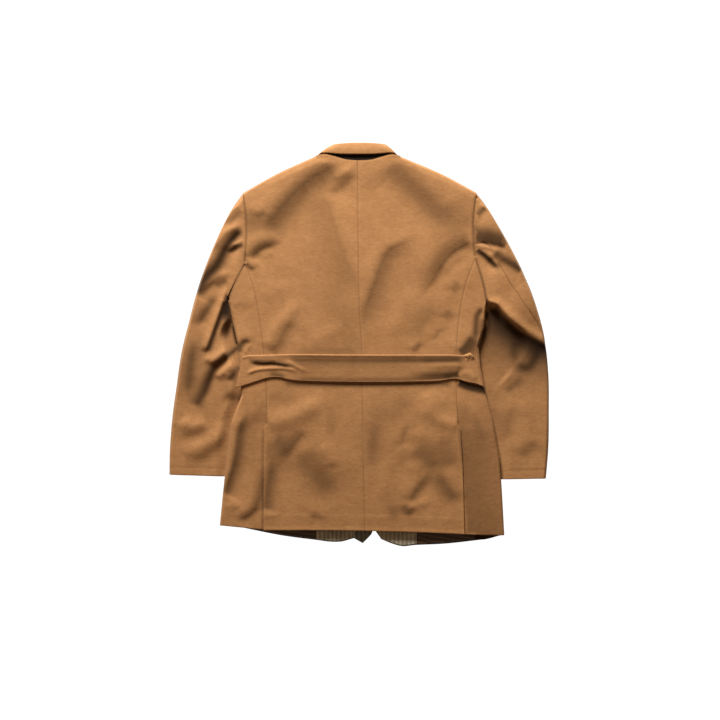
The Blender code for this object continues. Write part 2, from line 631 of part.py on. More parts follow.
class Sleeve:
    """A sleeve flattened on the surface: rings from the armhole to the cuff."""

    def __init__(self, side, cuts, folds):
        self.side = side
        self.folds = folds
        self.cuts = np.asarray(cuts, float)

    def ring_plan(self, row, around):
        """Returns plan points at a place along the sleeve (0 to 1) and places across it (0 to 1)."""
        across = 0.5 - 0.5 * np.cos(math.pi * around)
        knots = []
        for index, cut in enumerate(self.cuts):
            straight = cut[2:4] + (cut[0:2] - cut[2:4]) * across[:, None]
            if index == 0:
                steps = np.linspace(0, 1, ARMHOLE_STEPS + 1)
                line = self.side.shifted(self.side.armhole, SEAM)
                places = ARMHOLE_START + (1 - ARMHOLE_START) * around
                straight = np.column_stack([np.interp(places, steps, column) for column in line.T])
            knots.append(straight)
        return curve_at(np.stack(knots), np.array([row * (len(knots) - 1)]))[0]

    def ring(self, row, around, wall):
        """Returns one ring of points, at a depth in the wall; around is 0 at the inner edge, 1 at the outer."""
        under = (around > 1) | (around < 0)
        folded = np.abs(np.where(around > 1, 2 - around, around))
        plan = self.ring_plan(row, folded)
        ends = self.ring_plan(row, np.array([0.0, 1.0]))
        width = np.linalg.norm(ends[1] - ends[0])
        across = 0.5 - 0.5 * np.cos(math.pi * folded)
        place = row * (len(self.cuts) - 1)
        crown, tuck = (np.interp(place, np.arange(len(self.cuts)), column) for column in self.cuts.T[4:])
        swell = smooth(across * width, tuck, tuck + SLEEVE_RISE)
        swell = swell * smooth((1 - across) * width, 0, SLEEVE_RISE)
        height = SLEEVE_EDGE + (crown - SLEEVE_EDGE) * swell
        height = height + swell * fold_heights(self.folds, plan[:, 0], plan[:, 1])
        at_armhole = smooth(row, 0.0, ARMHOLE_BLEND)
        height = back_height(plan[:, 0], plan[:, 1]) * (1 - at_armhole) + height * at_armhole
        rim = SLEEVE_EDGE / 2
        gap = np.minimum(across, 1 - across) * width
        swing = np.sqrt(1 - (1 - np.clip(gap / rim, 0, 1)) ** 2)
        top = rim + (height - wall - rim) * swing
        bottom = rim - (rim - wall) * swing
        inward = (0.5 - across)[:, None] * 2 * (ends[1] - ends[0]) / width
        plan = plan + inward * wall * (1 - swing[:, None] * INNER_SHIFT)
        return with_height(plan, np.where(under, bottom, top))

    def outer_seam(self, row, sign):
        """Returns where the outer seam's lower (sign -1) or upper (sign 1) edge runs round the sleeve."""
        places = OUTER_SEAM[self.side.sign]
        around = np.interp(row, [place.row for place in places], [place.around for place in places])
        gap = SLEEVE_SEAM_ON_TOP if around < 1 else SLEEVE_SEAM
        return around + sign * gap

    def make_piece(self, name, columns, start, end):
        """Makes one piece between two seams, each given by where it runs round the sleeve at each row."""
        outer = []
        inner = []
        for row in np.linspace(0, 1, SLEEVE_ROWS + 1):
            low = start(row)
            high = end(row)
            around = low + (high - low) * columns
            outer.append(self.ring(row, around, 0.0))
            inner.append(self.ring(row, around, WOOL))
        add_cloth(name, np.stack(outer), np.stack(inner))


def make_sleeve(label, side, cuts, folds):
    """Makes the two pieces of one sleeve; the left one is turned, so that its top piece faces up."""
    sleeve = Sleeve(side, cuts, folds)
    upper, lower = ("top", "under") if side.sign < 0 else ("under", "top")
    sleeve.make_piece(f"{upper}_sleeve_{label}", np.linspace(0, 1, UPPER_SLEEVE_COLUMNS + 1),
                      lambda row: INNER_SEAM - 2 + SLEEVE_SEAM,
                      lambda row: sleeve.outer_seam(row, -1))
    sleeve.make_piece(f"{lower}_sleeve_{label}", np.linspace(0, 1, LOWER_SLEEVE_COLUMNS + 1),
                      lambda row: sleeve.outer_seam(row, 1),
                      lambda row: INNER_SEAM - SLEEVE_SEAM)


# The collar and the belt

def make_collar_fall():
    """Makes the fall, from one point of the collar round the neck to the other."""
    table = spread(COLLAR_FALL, FALL_STEPS + 1)
    table[:, [2, 5]] = np.maximum(table[:, [2, 5]], 0)
    share = np.linspace(0, 1, FALL_COLUMNS + 1)[None, :, None]
    roll = table[:, None, 0:3]
    edge = table[:, None, 3:6]
    outer = roll + (edge - roll) * share
    facing = np.clip(table[:, 6], -1, 1)
    run = edge[:, 0] - roll[:, 0]
    aside = np.column_stack([-run[:, 1], run[:, 0]])
    aside /= np.linalg.norm(aside, axis=1)[:, None]
    towards = np.array(NECK_CENTRE) - roll[:, 0, 0:2]
    aside *= np.sign((aside * towards).sum(axis=1))[:, None]
    level = np.sqrt(1 - facing ** 2)
    inward = np.column_stack([aside * level[:, None], -facing])
    add_cloth("collar_fall", outer, outer + WOOL * inward[:, None])


def make_collar_stand():
    """Makes the stand, from the neck seam to under the fall."""
    table = spread(COLLAR_STAND, STAND_STEPS + 1)
    seat = back_height(table[:, 0], table[:, 1] - NECK_SETBACK)
    neck = with_height(table[:, 0:2] + np.array([0, STAND_GAP]), seat)
    top = table[:, 2:5]
    share = np.linspace(0, 1, STAND_COLUMNS + 1)[None, :, None]
    points = neck[:, None] + (top - neck)[:, None] * share
    add_cloth("collar_stand", points, lowered(points, FELT), "felt")


def make_belt():
    """Makes the belt, which lies on the back and is tacked at the side-back seams."""
    table = spread(BELT, BELT_STEPS + 1)
    x, top, bottom, lift_top, lift_bottom = table.T
    share = np.linspace(0, 1, BELT_COLUMNS + 1)[None, :]
    y = top[:, None] + (bottom - top)[:, None] * share
    across = np.broadcast_to(x[:, None], y.shape)
    lift = lift_top[:, None] + (lift_bottom - lift_top)[:, None] * share
    height = back_height(across, y) + BELT_CLEARANCE + np.maximum(lift, 0)
    points = np.stack([across, y, height], axis=-1)
    add_cloth("back_belt", lowered(points, -BELT_THICKNESS), points)


def clear_scene():
    """Removes every object and makes the jacket's collection."""
    for item in list(bpy.data.objects):
        bpy.data.objects.remove(item, do_unlink=True)
    collection = bpy.data.collections.new("country_jacket")
    bpy.context.scene.collection.children.link(collection)


def main():
    """Makes every piece of the jacket."""
    clear_scene()
    make_back("back_left", LEFT)
    make_back("back_right", RIGHT)
    make_side("side_left", LEFT)
    make_side("side_right", RIGHT)
    make_front("front_left", LEFT)
    make_front("front_right", RIGHT)
    for name, strip in STRIPS.items():
        make_strip(name, strip)
    make_tab()
    make_sleeve("left", LEFT, SLEEVE_LEFT, LEFT_SLEEVE_FOLDS)
    make_sleeve("right", RIGHT, SLEEVE_RIGHT, RIGHT_SLEEVE_FOLDS)
    make_collar_fall()
    make_collar_stand()
    make_belt()
    for number, place in enumerate(BUTTON_PLACES, start=1):
        make_button(f"button_{number}", place)


main()
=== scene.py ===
"""The looks of a country jacket that lies face down: wool shells, belt, collar, facings, light and camera.

Shapes are worked out in millimetres in the frame of the solids: the surface is z = 0, +Y points to the
neck, and left and right are as seen from above. Meshes go into the scene in metres.
"""

from __future__ import annotations

import logging
import math
from dataclasses import astuple, dataclass
from enum import Enum
from typing import Any, Iterator, Sequence

import bpy
import numpy as np
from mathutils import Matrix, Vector

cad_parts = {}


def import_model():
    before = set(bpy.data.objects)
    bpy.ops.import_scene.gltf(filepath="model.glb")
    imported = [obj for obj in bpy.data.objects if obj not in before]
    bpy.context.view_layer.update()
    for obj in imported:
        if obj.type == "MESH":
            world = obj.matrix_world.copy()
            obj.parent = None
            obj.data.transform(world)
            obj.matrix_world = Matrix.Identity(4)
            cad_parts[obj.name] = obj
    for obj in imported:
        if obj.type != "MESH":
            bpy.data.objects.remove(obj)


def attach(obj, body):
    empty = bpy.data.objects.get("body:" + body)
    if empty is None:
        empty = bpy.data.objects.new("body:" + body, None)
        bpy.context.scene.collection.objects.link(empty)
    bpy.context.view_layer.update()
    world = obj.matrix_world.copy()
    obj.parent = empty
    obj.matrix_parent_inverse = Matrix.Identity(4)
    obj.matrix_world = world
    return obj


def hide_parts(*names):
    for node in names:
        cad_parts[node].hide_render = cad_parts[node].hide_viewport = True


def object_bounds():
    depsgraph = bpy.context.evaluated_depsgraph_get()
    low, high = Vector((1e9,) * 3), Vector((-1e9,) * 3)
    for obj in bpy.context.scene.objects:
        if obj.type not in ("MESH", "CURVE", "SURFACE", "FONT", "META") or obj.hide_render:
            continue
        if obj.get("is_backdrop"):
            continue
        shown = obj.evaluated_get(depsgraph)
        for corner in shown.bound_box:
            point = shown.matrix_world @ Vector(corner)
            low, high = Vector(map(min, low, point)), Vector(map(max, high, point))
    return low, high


Array = np.ndarray
Point = tuple[float, float]
Pair = tuple[float, float]
Colour = tuple[float, float, float]
Place = tuple[float, float, float]
Paint = tuple[float, float, float, float]

LOG = logging.getLogger("country_jacket")
BODY = "root"
MM = 0.001

# Cloth and grids, in millimetres
WOOL = 2.4
FACING = 1.6
FELT = 2.0
SEAM = 0.08
SEWN_LAP = 0.1
FINE_GRID = 2.7
HALF_GRID = 0.5 * FINE_GRID
HIDDEN_GRID = 6.0
EDGE_STEPS = (0.0, 0.3, 0.8, 1.5, 2.4)
CURVE_STEPS = 24
CREASE_STEPS = 22
SMALL = 1e-6
SHARP_ANGLE = math.radians(62)
MID_TONE = 0.5


class Slot(Enum):
    """The finishes that the record names."""

    WOOL = "camel_wool"
    FELT = "collar_felt"
    TWEED = "tweed_facing"
    LINING = "lining_satin"
    HORN = "button_horn"


class Edge(Enum):
    """How an edge of a panel is worked."""

    CUT = "cut"
    FOLD = "fold"
    SEAM = "seam"


Border = Edge | Array


# Curves and grids

def smooth(value: Array | float, low: float = 0.0, high: float = 1.0) -> Array:
    """Eases from 0 to 1.

    Args:
        value: What is compared with the two limits.
        low: Where the result is 0.
        high: Where the result is 1.

    Returns:
        The eased share.
    """
    part = np.clip((np.asarray(value, float) - low) / (high - low), 0.0, 1.0)
    return part * part * (3 - 2 * part)


def curve_at(table: Array, places: Array) -> Array:
    """Reads a table between its rows, on soft curves through them.

    Args:
        table: Rows of numbers or of points.
        places: Where to read, counted in rows.

    Returns:
        One row for each place.
    """
    knots = np.concatenate([2 * table[:1] - table[1:2], table, 2 * table[-1:] - table[-2:-1]])
    index = np.clip(np.floor(places).astype(int), 0, len(table) - 2)
    part = (places - index).reshape((-1,) + (1,) * (table.ndim - 1))
    before, start, end, after = (knots[index + step] for step in range(4))
    bend = (2 * before - 5 * start + 4 * end - after) * part ** 2
    twist = (3 * start - before - 3 * end + after) * part ** 3
    return start + 0.5 * ((end - before) * part + bend + twist)


@dataclass(frozen=True)
class Row:
    """A row of a table, whose fields are the columns."""

    def __iter__(self) -> Iterator[float]:
        """Gives the columns in order."""
        return iter(astuple(self))


def numbers(rows: Sequence[Row]) -> Array:
    """Returns the numbers in the rows of a table."""
    return np.array([tuple(row) for row in rows], float)


def spread(rows: Sequence[Row], shares: Array) -> Array:
    """Returns soft sections between the rows of a table, at shares of the way through it."""
    table = numbers(rows)
    return curve_at(table, np.asarray(shares) * (len(table) - 1))


def soft_line(points: Sequence[Sequence[float]]) -> Array:
    """Returns many points on a soft curve through the points given."""
    knots = np.asarray(points, float)
    return curve_at(knots, np.linspace(0, len(knots) - 1, CURVE_STEPS * (len(knots) - 1) + 1))


def run_lengths(line: Array) -> Array:
    """Returns the length of a line up to each of its points."""
    return np.concatenate([[0.0], np.cumsum(np.linalg.norm(np.diff(line, axis=0), axis=1))])


def along(line: Array, shares: Array) -> Array:
    """Finds points along a line.

    Args:
        line: The line's points.
        shares: Shares of its length.

    Returns:
        A point for each share.
    """
    length = run_lengths(line)
    places = np.asarray(shares) * length[-1]
    return np.column_stack([np.interp(places, length, column) for column in line.T])


def through(points: Sequence[Sequence[float]], shares: Array) -> Array:
    """Returns points at shares of the length of a soft curve through the points given."""
    return along(soft_line(points), shares)


def at_heights(points: Sequence[Point], heights: Array) -> Array:
    """Returns the points of a curve that rises in y, at the heights given."""
    line = soft_line(points)
    return np.column_stack([np.interp(heights, line[:, 1], line[:, 0]), heights])


def steps(length: float, step: float) -> Array:
    """Divides a length, with close steps at both ends.

    Args:
        length: The length to divide.
        step: The step away from the ends.

    Returns:
        Shares of the length from 0 to 1.
    """
    close = np.array(EDGE_STEPS)
    count = max(2, round((length - 2 * close[-1]) / step) + 1)
    even = np.linspace(close[-1], length - close[-1], count)
    return np.concatenate([close[:-1], even, length - close[-2::-1]]) / length


def patch(bottom: Array, top: Array, left: Array, right: Array, across: Array) -> Array:
    """Fills four edges that share their corners, as a Coons patch.

    Args:
        bottom: The first row of points.
        top: The last row of points.
        left: The first column of points.
        right: The last column of points.
        across: The share of the way across for each column.

    Returns:
        The grid of points, rows first.
    """
    lengths = 0.5 * (run_lengths(left) + run_lengths(right))
    v = (lengths / lengths[-1])[:, None, None]
    u = across[None, :, None]
    sides = (1 - u) * left[:, None] + u * right[:, None]
    ends = (1 - v) * bottom[None] + v * top[None]
    corners = (1 - v) * ((1 - u) * bottom[0] + u * bottom[-1]) + v * ((1 - u) * top[0] + u * top[-1])
    return sides + ends - corners


def refined(grid: Array, rows: Array, columns: Array) -> Array:
    """Reads a coarse grid of points on soft curves.

    Args:
        grid: The coarse grid.
        rows: Shares of the way through its rows.
        columns: Shares of the way through its columns.

    Returns:
        The fine grid.
    """
    tall = curve_at(grid, rows * (len(grid) - 1))
    wide = curve_at(tall.swapaxes(0, 1), columns * (grid.shape[1] - 1))
    return wide.swapaxes(0, 1)


def with_height(plan: Array, height: Array | float) -> Array:
    """Joins plan points and heights."""
    return np.concatenate([plan, np.broadcast_to(height, plan.shape[:-1])[..., None]], axis=-1)


def lowered(points: Array, depth: float) -> Array:
    """Returns points moved down."""
    return points - np.array([0.0, 0.0, depth])


# Creases

@dataclass(frozen=True)
class Crease:
    """A soft fold in the cloth along a line, in millimetres.

    It lifts the cloth along the line by rise, and by lap on the line's left, with a hollow as deep on its
    right. It is width wide on its left, as one goes along the line, and far wide on its right, and flare
    times that at its end. It fades out, and gets narrower by taper, over the shares head and tail of its
    length. Shade is painted shade: it darkens the cloth's colour along the crease, with a flatter top to it
    where plateau is more than 2. A shade below 0 is painted light, which takes away from the painted shade
    of other creases.
    """

    line: tuple[Point, ...]
    width: float
    rise: float = 0.0
    lap: float = 0.0
    far: float = 0.0
    head: float = 0.3
    tail: float = 0.3
    # painted shade: darkens the cloth's colour along the crease; below 0 it is painted light
    shade: float = 0.0
    flare: float = 1.0
    taper: float = 0.2
    plateau: float = 2.0
    margin: float = 7.0
    spread_out: float = 3.2
    step_peak: float = 0.73
    blend: float = 0.12
    least_blend: float = 0.4

    def lay(self, x: Array, y: Array) -> Array:
        """Works out what the crease does to the cloth.

        Args:
            x: Places across.
            y: Places up.

        Returns:
            How far it lifts the cloth at each place, and how much shade is painted there.
        """
        knots = through(self.line, np.linspace(0, 1, CREASE_STEPS + 1))
        far = self.far or self.width
        reach = self.margin * max(self.width, far) * max(1.0, self.flare)
        low = knots.min(axis=0) - reach
        high = knots.max(axis=0) + reach
        total = np.zeros((2, *x.shape))
        near = (x > low[0]) & (x < high[0]) & (y > low[1]) & (y < high[1])
        if not near.any():
            return total
        run = np.diff(knots, axis=0)
        length = np.linalg.norm(run, axis=1)
        offset = np.column_stack([x[near], y[near]])[:, None, :] - knots[None, :-1]
        part = np.clip((offset * run).sum(axis=-1) / length ** 2, 0, 1)
        gap = np.linalg.norm(offset - part[..., None] * run, axis=-1)
        least = gap.min(axis=1)
        weight = np.exp((least[:, None] - gap) / (self.blend * least[:, None] + self.least_blend))
        weight /= weight.sum(axis=1)[:, None]
        share = (weight * (np.arange(CREASE_STEPS) + part)).sum(axis=1) / CREASE_STEPS
        turn = (run[:, 0] * offset[..., 1] - run[:, 1] * offset[..., 0]) / length
        aside = (weight * turn).sum(axis=1)
        leftward = np.clip(0.5 + 0.5 * aside / (least + SMALL), 0, 1)
        fade = smooth(share, 0, self.head + SMALL) * smooth(1 - share, 0, self.tail + SMALL)
        girth = (far + (self.width - far) * leftward) * (1 + (self.flare - 1) * share)
        girth = girth * (1 - self.taper * (1 - fade))
        place = least / girth
        step = np.tanh(aside / girth) * np.exp(-(place / self.spread_out) ** 2) / self.step_peak
        height = self.rise * np.exp(-place ** 2) + self.lap * step
        total[:, near] = fade * np.stack([height, self.shade * np.exp(-place ** self.plateau)])
        return total


def crease_heights(creases: Sequence[Crease], x: Array, y: Array) -> Array:
    """Adds up the creases' heights at the places given."""
    return sum((crease.lay(x, y)[0] for crease in creases), np.zeros_like(x))


def crease_shades(creases: Sequence[Crease], x: Array, y: Array) -> Array:
    """Joins the creases' painted shades; each one darkens what the others leave.

    Args:
        creases: The creases.
        x: Places across.
        y: Places up.

    Returns:
        How much shade is painted at each place.
    """
    light = np.ones_like(x)
    for crease in creases:
        if crease.shade:
            light = light * (1 - crease.lay(x, y)[1])
    return 1 - light


# Creases of the back. Their shade is painted shade; a shade below 0 is painted light.
BACK_CREASES = (
    Crease(((-204, 226), (-170, 262), (-138, 302), (-102, 335), (-70, 355), (-34, 372)), 20, lap=4.2,
           far=26, head=0.15, tail=0.15, shade=0.42),
    Crease(((-64, 306), (-34, 330), (-2, 360)), 10, lap=1.6, shade=0.14),
    Crease(((-58, 338), (-30, 354), (-6, 370)), 8, rise=1.2),
    Crease(((-84, 316), (-62, 272), (-40, 200), (2, 96)), 12, lap=1.0, far=48, head=0.15, tail=0.2,
           shade=0.21),
    Crease(((-216, 262), (-203, 268), (-188, 273)), 8, lap=0.9, shade=0.18),
    Crease(((-221, 218), (-217, 250), (-214, 284)), 24, shade=0.24),
    Crease(((-222, 176), (-213, 190), (-194, 203), (-150, 216)), 12, lap=2.5, far=9, head=0.12, tail=0.5,
           shade=0.5),
    Crease(((-206, 180), (-190, 187), (-170, 190)), 8, rise=1.2),
    Crease(((-232, 167), (-224, 160), (-213, 153)), 5, lap=1.2, head=0.1, shade=0.45),
    Crease(((-192, -8), (-172, 30), (-146, 62), (-110, 95)), 14, rise=1.9, head=0.12),
    Crease(((-184, -17), (-162, 4), (-148, 34), (-122, 54)), 8, lap=1.1, far=13, head=0.1, shade=0.26),
    Crease(((-247, -16), (-241, 2), (-231, 8), (-220, 1)), 6, lap=1.4, head=0.1, shade=0.66),
    Crease(((-234, -22), (-228, -8), (-218, 4)), 4, rise=1.0),
    Crease(((-256, 88), (-222, 70)), 12, lap=1.0),
    Crease(((-110, 2), (-70, 18), (-28, 40)), 15, rise=1.3),
    Crease(((-150, -15), (-70, -12), (20, -15)), 10, shade=0.26),
    Crease(((-62, 132), (-40, 74), (-8, 16)), 32, shade=0.15),
    Crease(((-34, -4), (4, 18)), 20, shade=0.14),
    Crease(((48, 375), (92, 342), (135, 305), (168, 268), (198, 234)), 24, lap=2.6, far=28, head=0.15,
           shade=0.4),
    Crease(((176, 296), (194, 254), (214, 226)), 34, shade=0.27),
    Crease(((4, 12), (18, 78), (36, 128), (50, 168), (62, 190), (86, 204), (130, 223)), 12, lap=1.8, far=28,
           flare=0.8, shade=0.36),
    Crease(((118, 92), (136, 116), (152, 138), (166, 162), (184, 185), (208, 203), (232, 216)), 22, lap=2.6,
           far=11, head=0.5, tail=0.1, shade=0.38),
    Crease(((168, 140), (192, 172), (224, 194)), 9, rise=1.4),
    Crease(((188, 107), (198, 118), (208, 128)), 11, lap=0.8, shade=0.32),
    Crease(((172, 53), (182, 61), (192, 71)), 11, lap=0.8, shade=0.28),
    Crease(((154, 8), (160, 22), (166, 36)), 6, lap=0.8, shade=0.18),
    Crease(((106, -15), (118, -5), (130, 7)), 7, lap=1.2, shade=0.2),
    # Painted shade in the hollow along the body's right edge and above the belt's right end.
    Crease(((240, 4), (240, 28), (242, 52), (249, 67), (259, 73)), 6, rise=-2.0, head=0.25, tail=0.15,
           shade=0.74),
    Crease(((250, 14), (250, 44), (256, 62)), 8, rise=1.0, shade=0.4),
    Crease(((202, -20), (220, -4), (238, 24)), 9, lap=1.2, far=24, head=0.2, shade=0.76, plateau=2.5),
    # Painted shadow cast by the belt's lower edge and by its right end onto the back.
    Crease(((-160, -79), (0, -82), (196, -79)), 3, far=6, head=0.05, tail=0.05, shade=0.6),
    Crease(((202, -76), (226, -86), (264, -94)), 9, head=0.1, tail=0.05, shade=0.95, plateau=4.0),
    Crease(((-192, -164), (-150, -152), (-110, -138), (-66, -106)), 20, rise=3.0, head=0.1),
    Crease(((-180, -192), (-162, -202), (-142, -230)), 22, shade=0.5),
    Crease(((-156, -244), (-140, -210), (-124, -188), (-106, -172)), 15, lap=1.5, far=9, tail=0.25,
           shade=0.28),
    Crease(((-128, -212), (-100, -250), (-70, -282), (-38, -312)), 32, lap=1.6, far=30, head=0.2,
           shade=0.42),
    Crease(((-76, -198), (-62, -226), (-50, -256)), 16, rise=1.8),
    Crease(((-104, -356), (-88, -350), (-74, -362)), 8, lap=0.9, shade=0.22),
    Crease(((-193, -340), (-187, -300), (-179, -260), (-172, -216)), 8, lap=1.0, far=16, head=0.06,
           tail=0.4, shade=0.4),
    Crease(((-189, -345), (-187, -250), (-186, -175)), 3, far=16, head=0.05, tail=0.2, shade=0.22),
    Crease(((-197, -348), (-180, -349), (-156, -344)), 7, rise=0.7, head=0.1),
    Crease(((-278, -309), (-262, -270), (-250, -226), (-243, -178), (-229, -136)), 8, lap=3.4, far=13,
           head=0.06, tail=0.2, shade=0.5),
    Crease(((-254, -361), (-222, -345), (-206, -318), (-199, -270), (-197, -230)), 10, lap=1.6, far=7,
           head=0.15, tail=0.4, shade=0.38),
    Crease(((-264, -322), (-252, -338)), 14, rise=1.2),
    Crease(((-236, -110), (-236, -220), (-250, -330)), 34, shade=0.13),
    Crease(((-197, -380), (-197, -251), (-195, -170)), 3, far=1.2, head=0.02, tail=0.05, shade=0.5),
    Crease(((108, -208), (126, -221), (142, -236), (162, -264)), 22, lap=1.4, far=19, head=0.25,
           shade=0.4),
    Crease(((101, -324), (116, -302), (130, -284), (146, -264), (158, -254)), 9, lap=1.3, far=11, head=0.15,
           tail=0.5, shade=0.42),
    Crease(((154, -246), (168, -276), (186, -302), (210, -326)), 14, lap=1.3, far=19, head=0.4, tail=0.25,
           shade=0.48),
    Crease(((160, -182), (178, -220), (190, -262)), 30, shade=0.36),
    Crease(((86, -326), (98, -340), (114, -347)), 11, lap=0.9, shade=0.46),
    Crease(((56, -344), (66, -340), (78, -362)), 12, shade=0.3),
    Crease(((84, -212), (92, -184), (102, -158)), 8, lap=0.9, shade=0.14),
    Crease(((24, -262), (28, -214), (34, -150)), 13, shade=0.26),
    Crease(((-66, -110), (-58, -150), (-54, -190)), 12, shade=0.16),
    Crease(((112, -98), (84, -126), (60, -164)), 17, shade=0.18),
    Crease(((72, -108), (42, -146), (26, -200), (24, -256)), 27, shade=0.2),
    # Painted light: these two ridges take some painted shade away.
    Crease(((116, -156), (150, -126), (190, -100)), 20, rise=2.0, shade=-0.1),
    Crease(((-186, -168), (-128, -138), (-64, -104)), 17, rise=1.0, shade=-0.1),
    # Painted shade along the left shoulder edge, dimming its lit rim.
    Crease(((-84, 388), (-160, 352), (-234, 312)), 9, head=0.05, tail=0.05, shade=0.15),
    Crease(((-192, -94), (-160, -108), (-124, -124)), 15, shade=0.14),
    Crease(((68, -222), (58, -270), (50, -330)), 14, rise=1.3),
    Crease(((94, 0), (124, 44), (160, 98)), 17, lap=0.9, shade=0.16),
    Crease(((54, 2), (88, 60), (118, 124)), 17, rise=1.2),
    Crease(((-206, 96), (-176, 112), (-140, 118)), 18, rise=1.0),
    Crease(((92, -336), (120, -330), (150, -316)), 9, rise=1.3),
    Crease(((92, -256), (112, -252), (132, -260)), 12, rise=0.9),
    Crease(((92, -180), (118, -186), (144, -180)), 13, rise=1.3),
    Crease(((136, -92), (150, -140), (174, -158), (206, -166)), 13, rise=2.2, head=0.15, tail=0.1),
    Crease(((226, -112), (242, -150), (258, -200)), 7, rise=0.9),
    Crease(((234, -138), (246, -170), (260, -206)), 7, shade=0.14),
    Crease(((226, -389), (214, -251), (204, -164), (203, -110)), 2.5, far=90, head=0.02, shade=0.42),
)
# Creases of the left sleeve. Their shade is painted shade; a shade below 0 is painted light.
LEFT_SLEEVE_CREASES = (
    Crease(((-272, 244), (-256, 262), (-240, 277)), 9, lap=1.4, tail=0.1, shade=0.3),
    Crease(((-304, 190), (-284, 219), (-264, 237), (-238, 249)), 8, rise=2.6, tail=0.1),
    Crease(((-338, 100), (-318, 132), (-290, 166), (-272, 202), (-252, 226), (-236, 237)), 18, lap=3.6,
           far=18, head=0.08, tail=0.08, flare=0.42, shade=0.86),
    Crease(((-264, 201), (-250, 208), (-235, 214)), 4, rise=1.8, tail=0.1),
    Crease(((-272, 188), (-256, 198), (-236, 206)), 5, lap=1.8, tail=0.1, shade=0.75),
    Crease(((-330, 106), (-302, 132), (-282, 144), (-258, 147)), 8, rise=2.4, head=0.35),
    Crease(((-298, 118), (-284, 127), (-266, 133)), 7, lap=1.0, far=9, shade=0.4),
    Crease(((-334, 36), (-322, 58), (-302, 88), (-292, 108)), 10, lap=1.6, far=8, head=0.25, shade=0.5),
    Crease(((-318, -16), (-290, 60), (-268, 128)), 8, rise=3.4, far=5, head=0.1, tail=0.2),
    Crease(((-312, -17), (-302, 12), (-292, 40), (-274, 92)), 3.5, lap=1.4, far=7, head=0.08, tail=0.05,
           shade=0.8),
    # Painted shade in the deep pocket between the sleeve and the body's edge, with a streak of painted light
    # in it.
    Crease(((-267, 99), (-271, 74), (-276, 44)), 6, rise=-1.5, head=0.02, tail=0.4, flare=2.2, shade=0.98,
           plateau=4.0),
    Crease(((-271, 70), (-275, 36), (-279, 10)), 13, shade=0.66, plateau=3.0),
    Crease(((-290, 14), (-282, 36), (-275, 58)), 4, rise=0.8, shade=-1.3),
    Crease(((-259, 42), (-254, 18), (-249, 0)), 5, head=0.1, tail=0.1, shade=0.85),
    Crease(((-316, -24), (-300, -32), (-276, -14), (-250, 6)), 8, rise=3.8, head=0.1, tail=0.05),
    Crease(((-330, -118), (-316, -96), (-307, -70), (-296, -46), (-276, -29), (-247, -4)), 10, lap=3.0,
           far=8, head=0.4, tail=0.05, flare=0.6),
    Crease(((-336, -130), (-328, -114), (-316, -94), (-307, -70), (-296, -46), (-276, -29), (-247, -4)), 18,
           far=11, head=0.08, tail=0.04, flare=0.35, shade=0.78),
    Crease(((-294, -70), (-272, -50), (-246, -30)), 8, rise=2.8, head=0.15, tail=0.1),
    Crease(((-272, -76), (-258, -62), (-246, -44)), 7, lap=2.0, tail=0.08, shade=0.6),
    Crease(((-280, -100), (-262, -106), (-238, -112)), 9, lap=1.2, tail=0.1, shade=0.4),
    Crease(((-352, -118), (-348, -62), (-338, 22)), 11, lap=1.2, shade=0.5),
    Crease(((-348, -110), (-336, -40), (-318, 30)), 32, shade=0.26),
    Crease(((-366, -150), (-342, -166), (-308, -156)), 15, rise=3.6),
    Crease(((-376, -158), (-360, -183), (-338, -186), (-314, -174), (-302, -163)), 11, lap=1.2, head=0.12),
    Crease(((-366, -230), (-312, -202), (-264, -172)), 18, rise=4.2, tail=0.1),
    Crease(((-350, -246), (-316, -228), (-294, -212), (-264, -188)), 12, lap=1.0, tail=0.08),
    Crease(((-392, -251), (-330, -252), (-262, -255)), 2.0, rise=-0.35, head=0.02, tail=0.02, shade=0.15),
)
# Creases of the right sleeve. Their shade is painted shade.
RIGHT_SLEEVE_CREASES = (
    Crease(((243, 266), (252, 276), (262, 285)), 6, lap=1.6, head=0.1, shade=0.5),
    Crease(((240, 214), (268, 210), (304, 203)), 24, lap=3.0, far=5, head=0.04, tail=0.12, shade=0.6),
    Crease(((242, 227), (266, 223), (296, 213)), 16, head=0.04, tail=0.1, shade=0.58, plateau=2.5),
    Crease(((238, 205), (264, 200), (300, 189)), 5, rise=2.8, head=0.1),
    Crease(((242, 195), (261, 181), (288, 154)), 5, lap=2.6, far=6, head=0.04, tail=0.25, shade=0.9),
    Crease(((272, 188), (298, 175), (336, 152)), 11, lap=2.0, far=8, head=0.15, tail=0.08, shade=0.72),
    Crease(((258, 70), (280, 84), (298, 68), (334, 36), (358, 20), (392, 2)), 11, rise=6.4, head=0.12,
           tail=0.06),
    # Painted shadow in the deep hollow below the fold, spreading down to its lower loop.
    Crease(((256, 58), (278, 68), (294, 54), (330, 24), (356, 10), (392, -8)), 7, far=54, head=0.04,
           tail=0.03, flare=0.55, shade=0.92, plateau=3.0),
    Crease(((250, 24), (300, 12), (392, -20)), 30, far=66, head=0.02, tail=0.02, shade=0.44, plateau=3.0),
    Crease(((322, 10), (318, -12), (322, -36)), 9, head=0.2, shade=0.5),
    Crease(((314, -32), (336, -46), (352, -44), (364, -22), (374, 4)), 13, lap=1.0, tail=0.1, shade=0.72),
    Crease(((272, -68), (294, -62), (316, -72)), 13, rise=1.4),
    Crease(((298, -100), (320, -84), (346, -64)), 12, lap=1.2, far=11, shade=0.36),
    Crease(((264, -60), (276, -130), (288, -200)), 22, shade=0.2),
    Crease(((338, -110), (344, -250)), 50, shade=0.1),
    Crease(((296, -206), (306, -160), (322, -118)), 14, lap=1.2, shade=0.14),
    Crease(((326, -232), (344, -216), (370, -194)), 12, lap=1.2, shade=0.2),
    Crease(((388, -270), (392, -140), (388, -20)), 5, head=0.05, tail=0.1, shade=0.35),
    Crease(((270, -260), (330, -258), (392, -256)), 2.0, rise=-0.35, head=0.02, tail=0.02, shade=0.15),
)
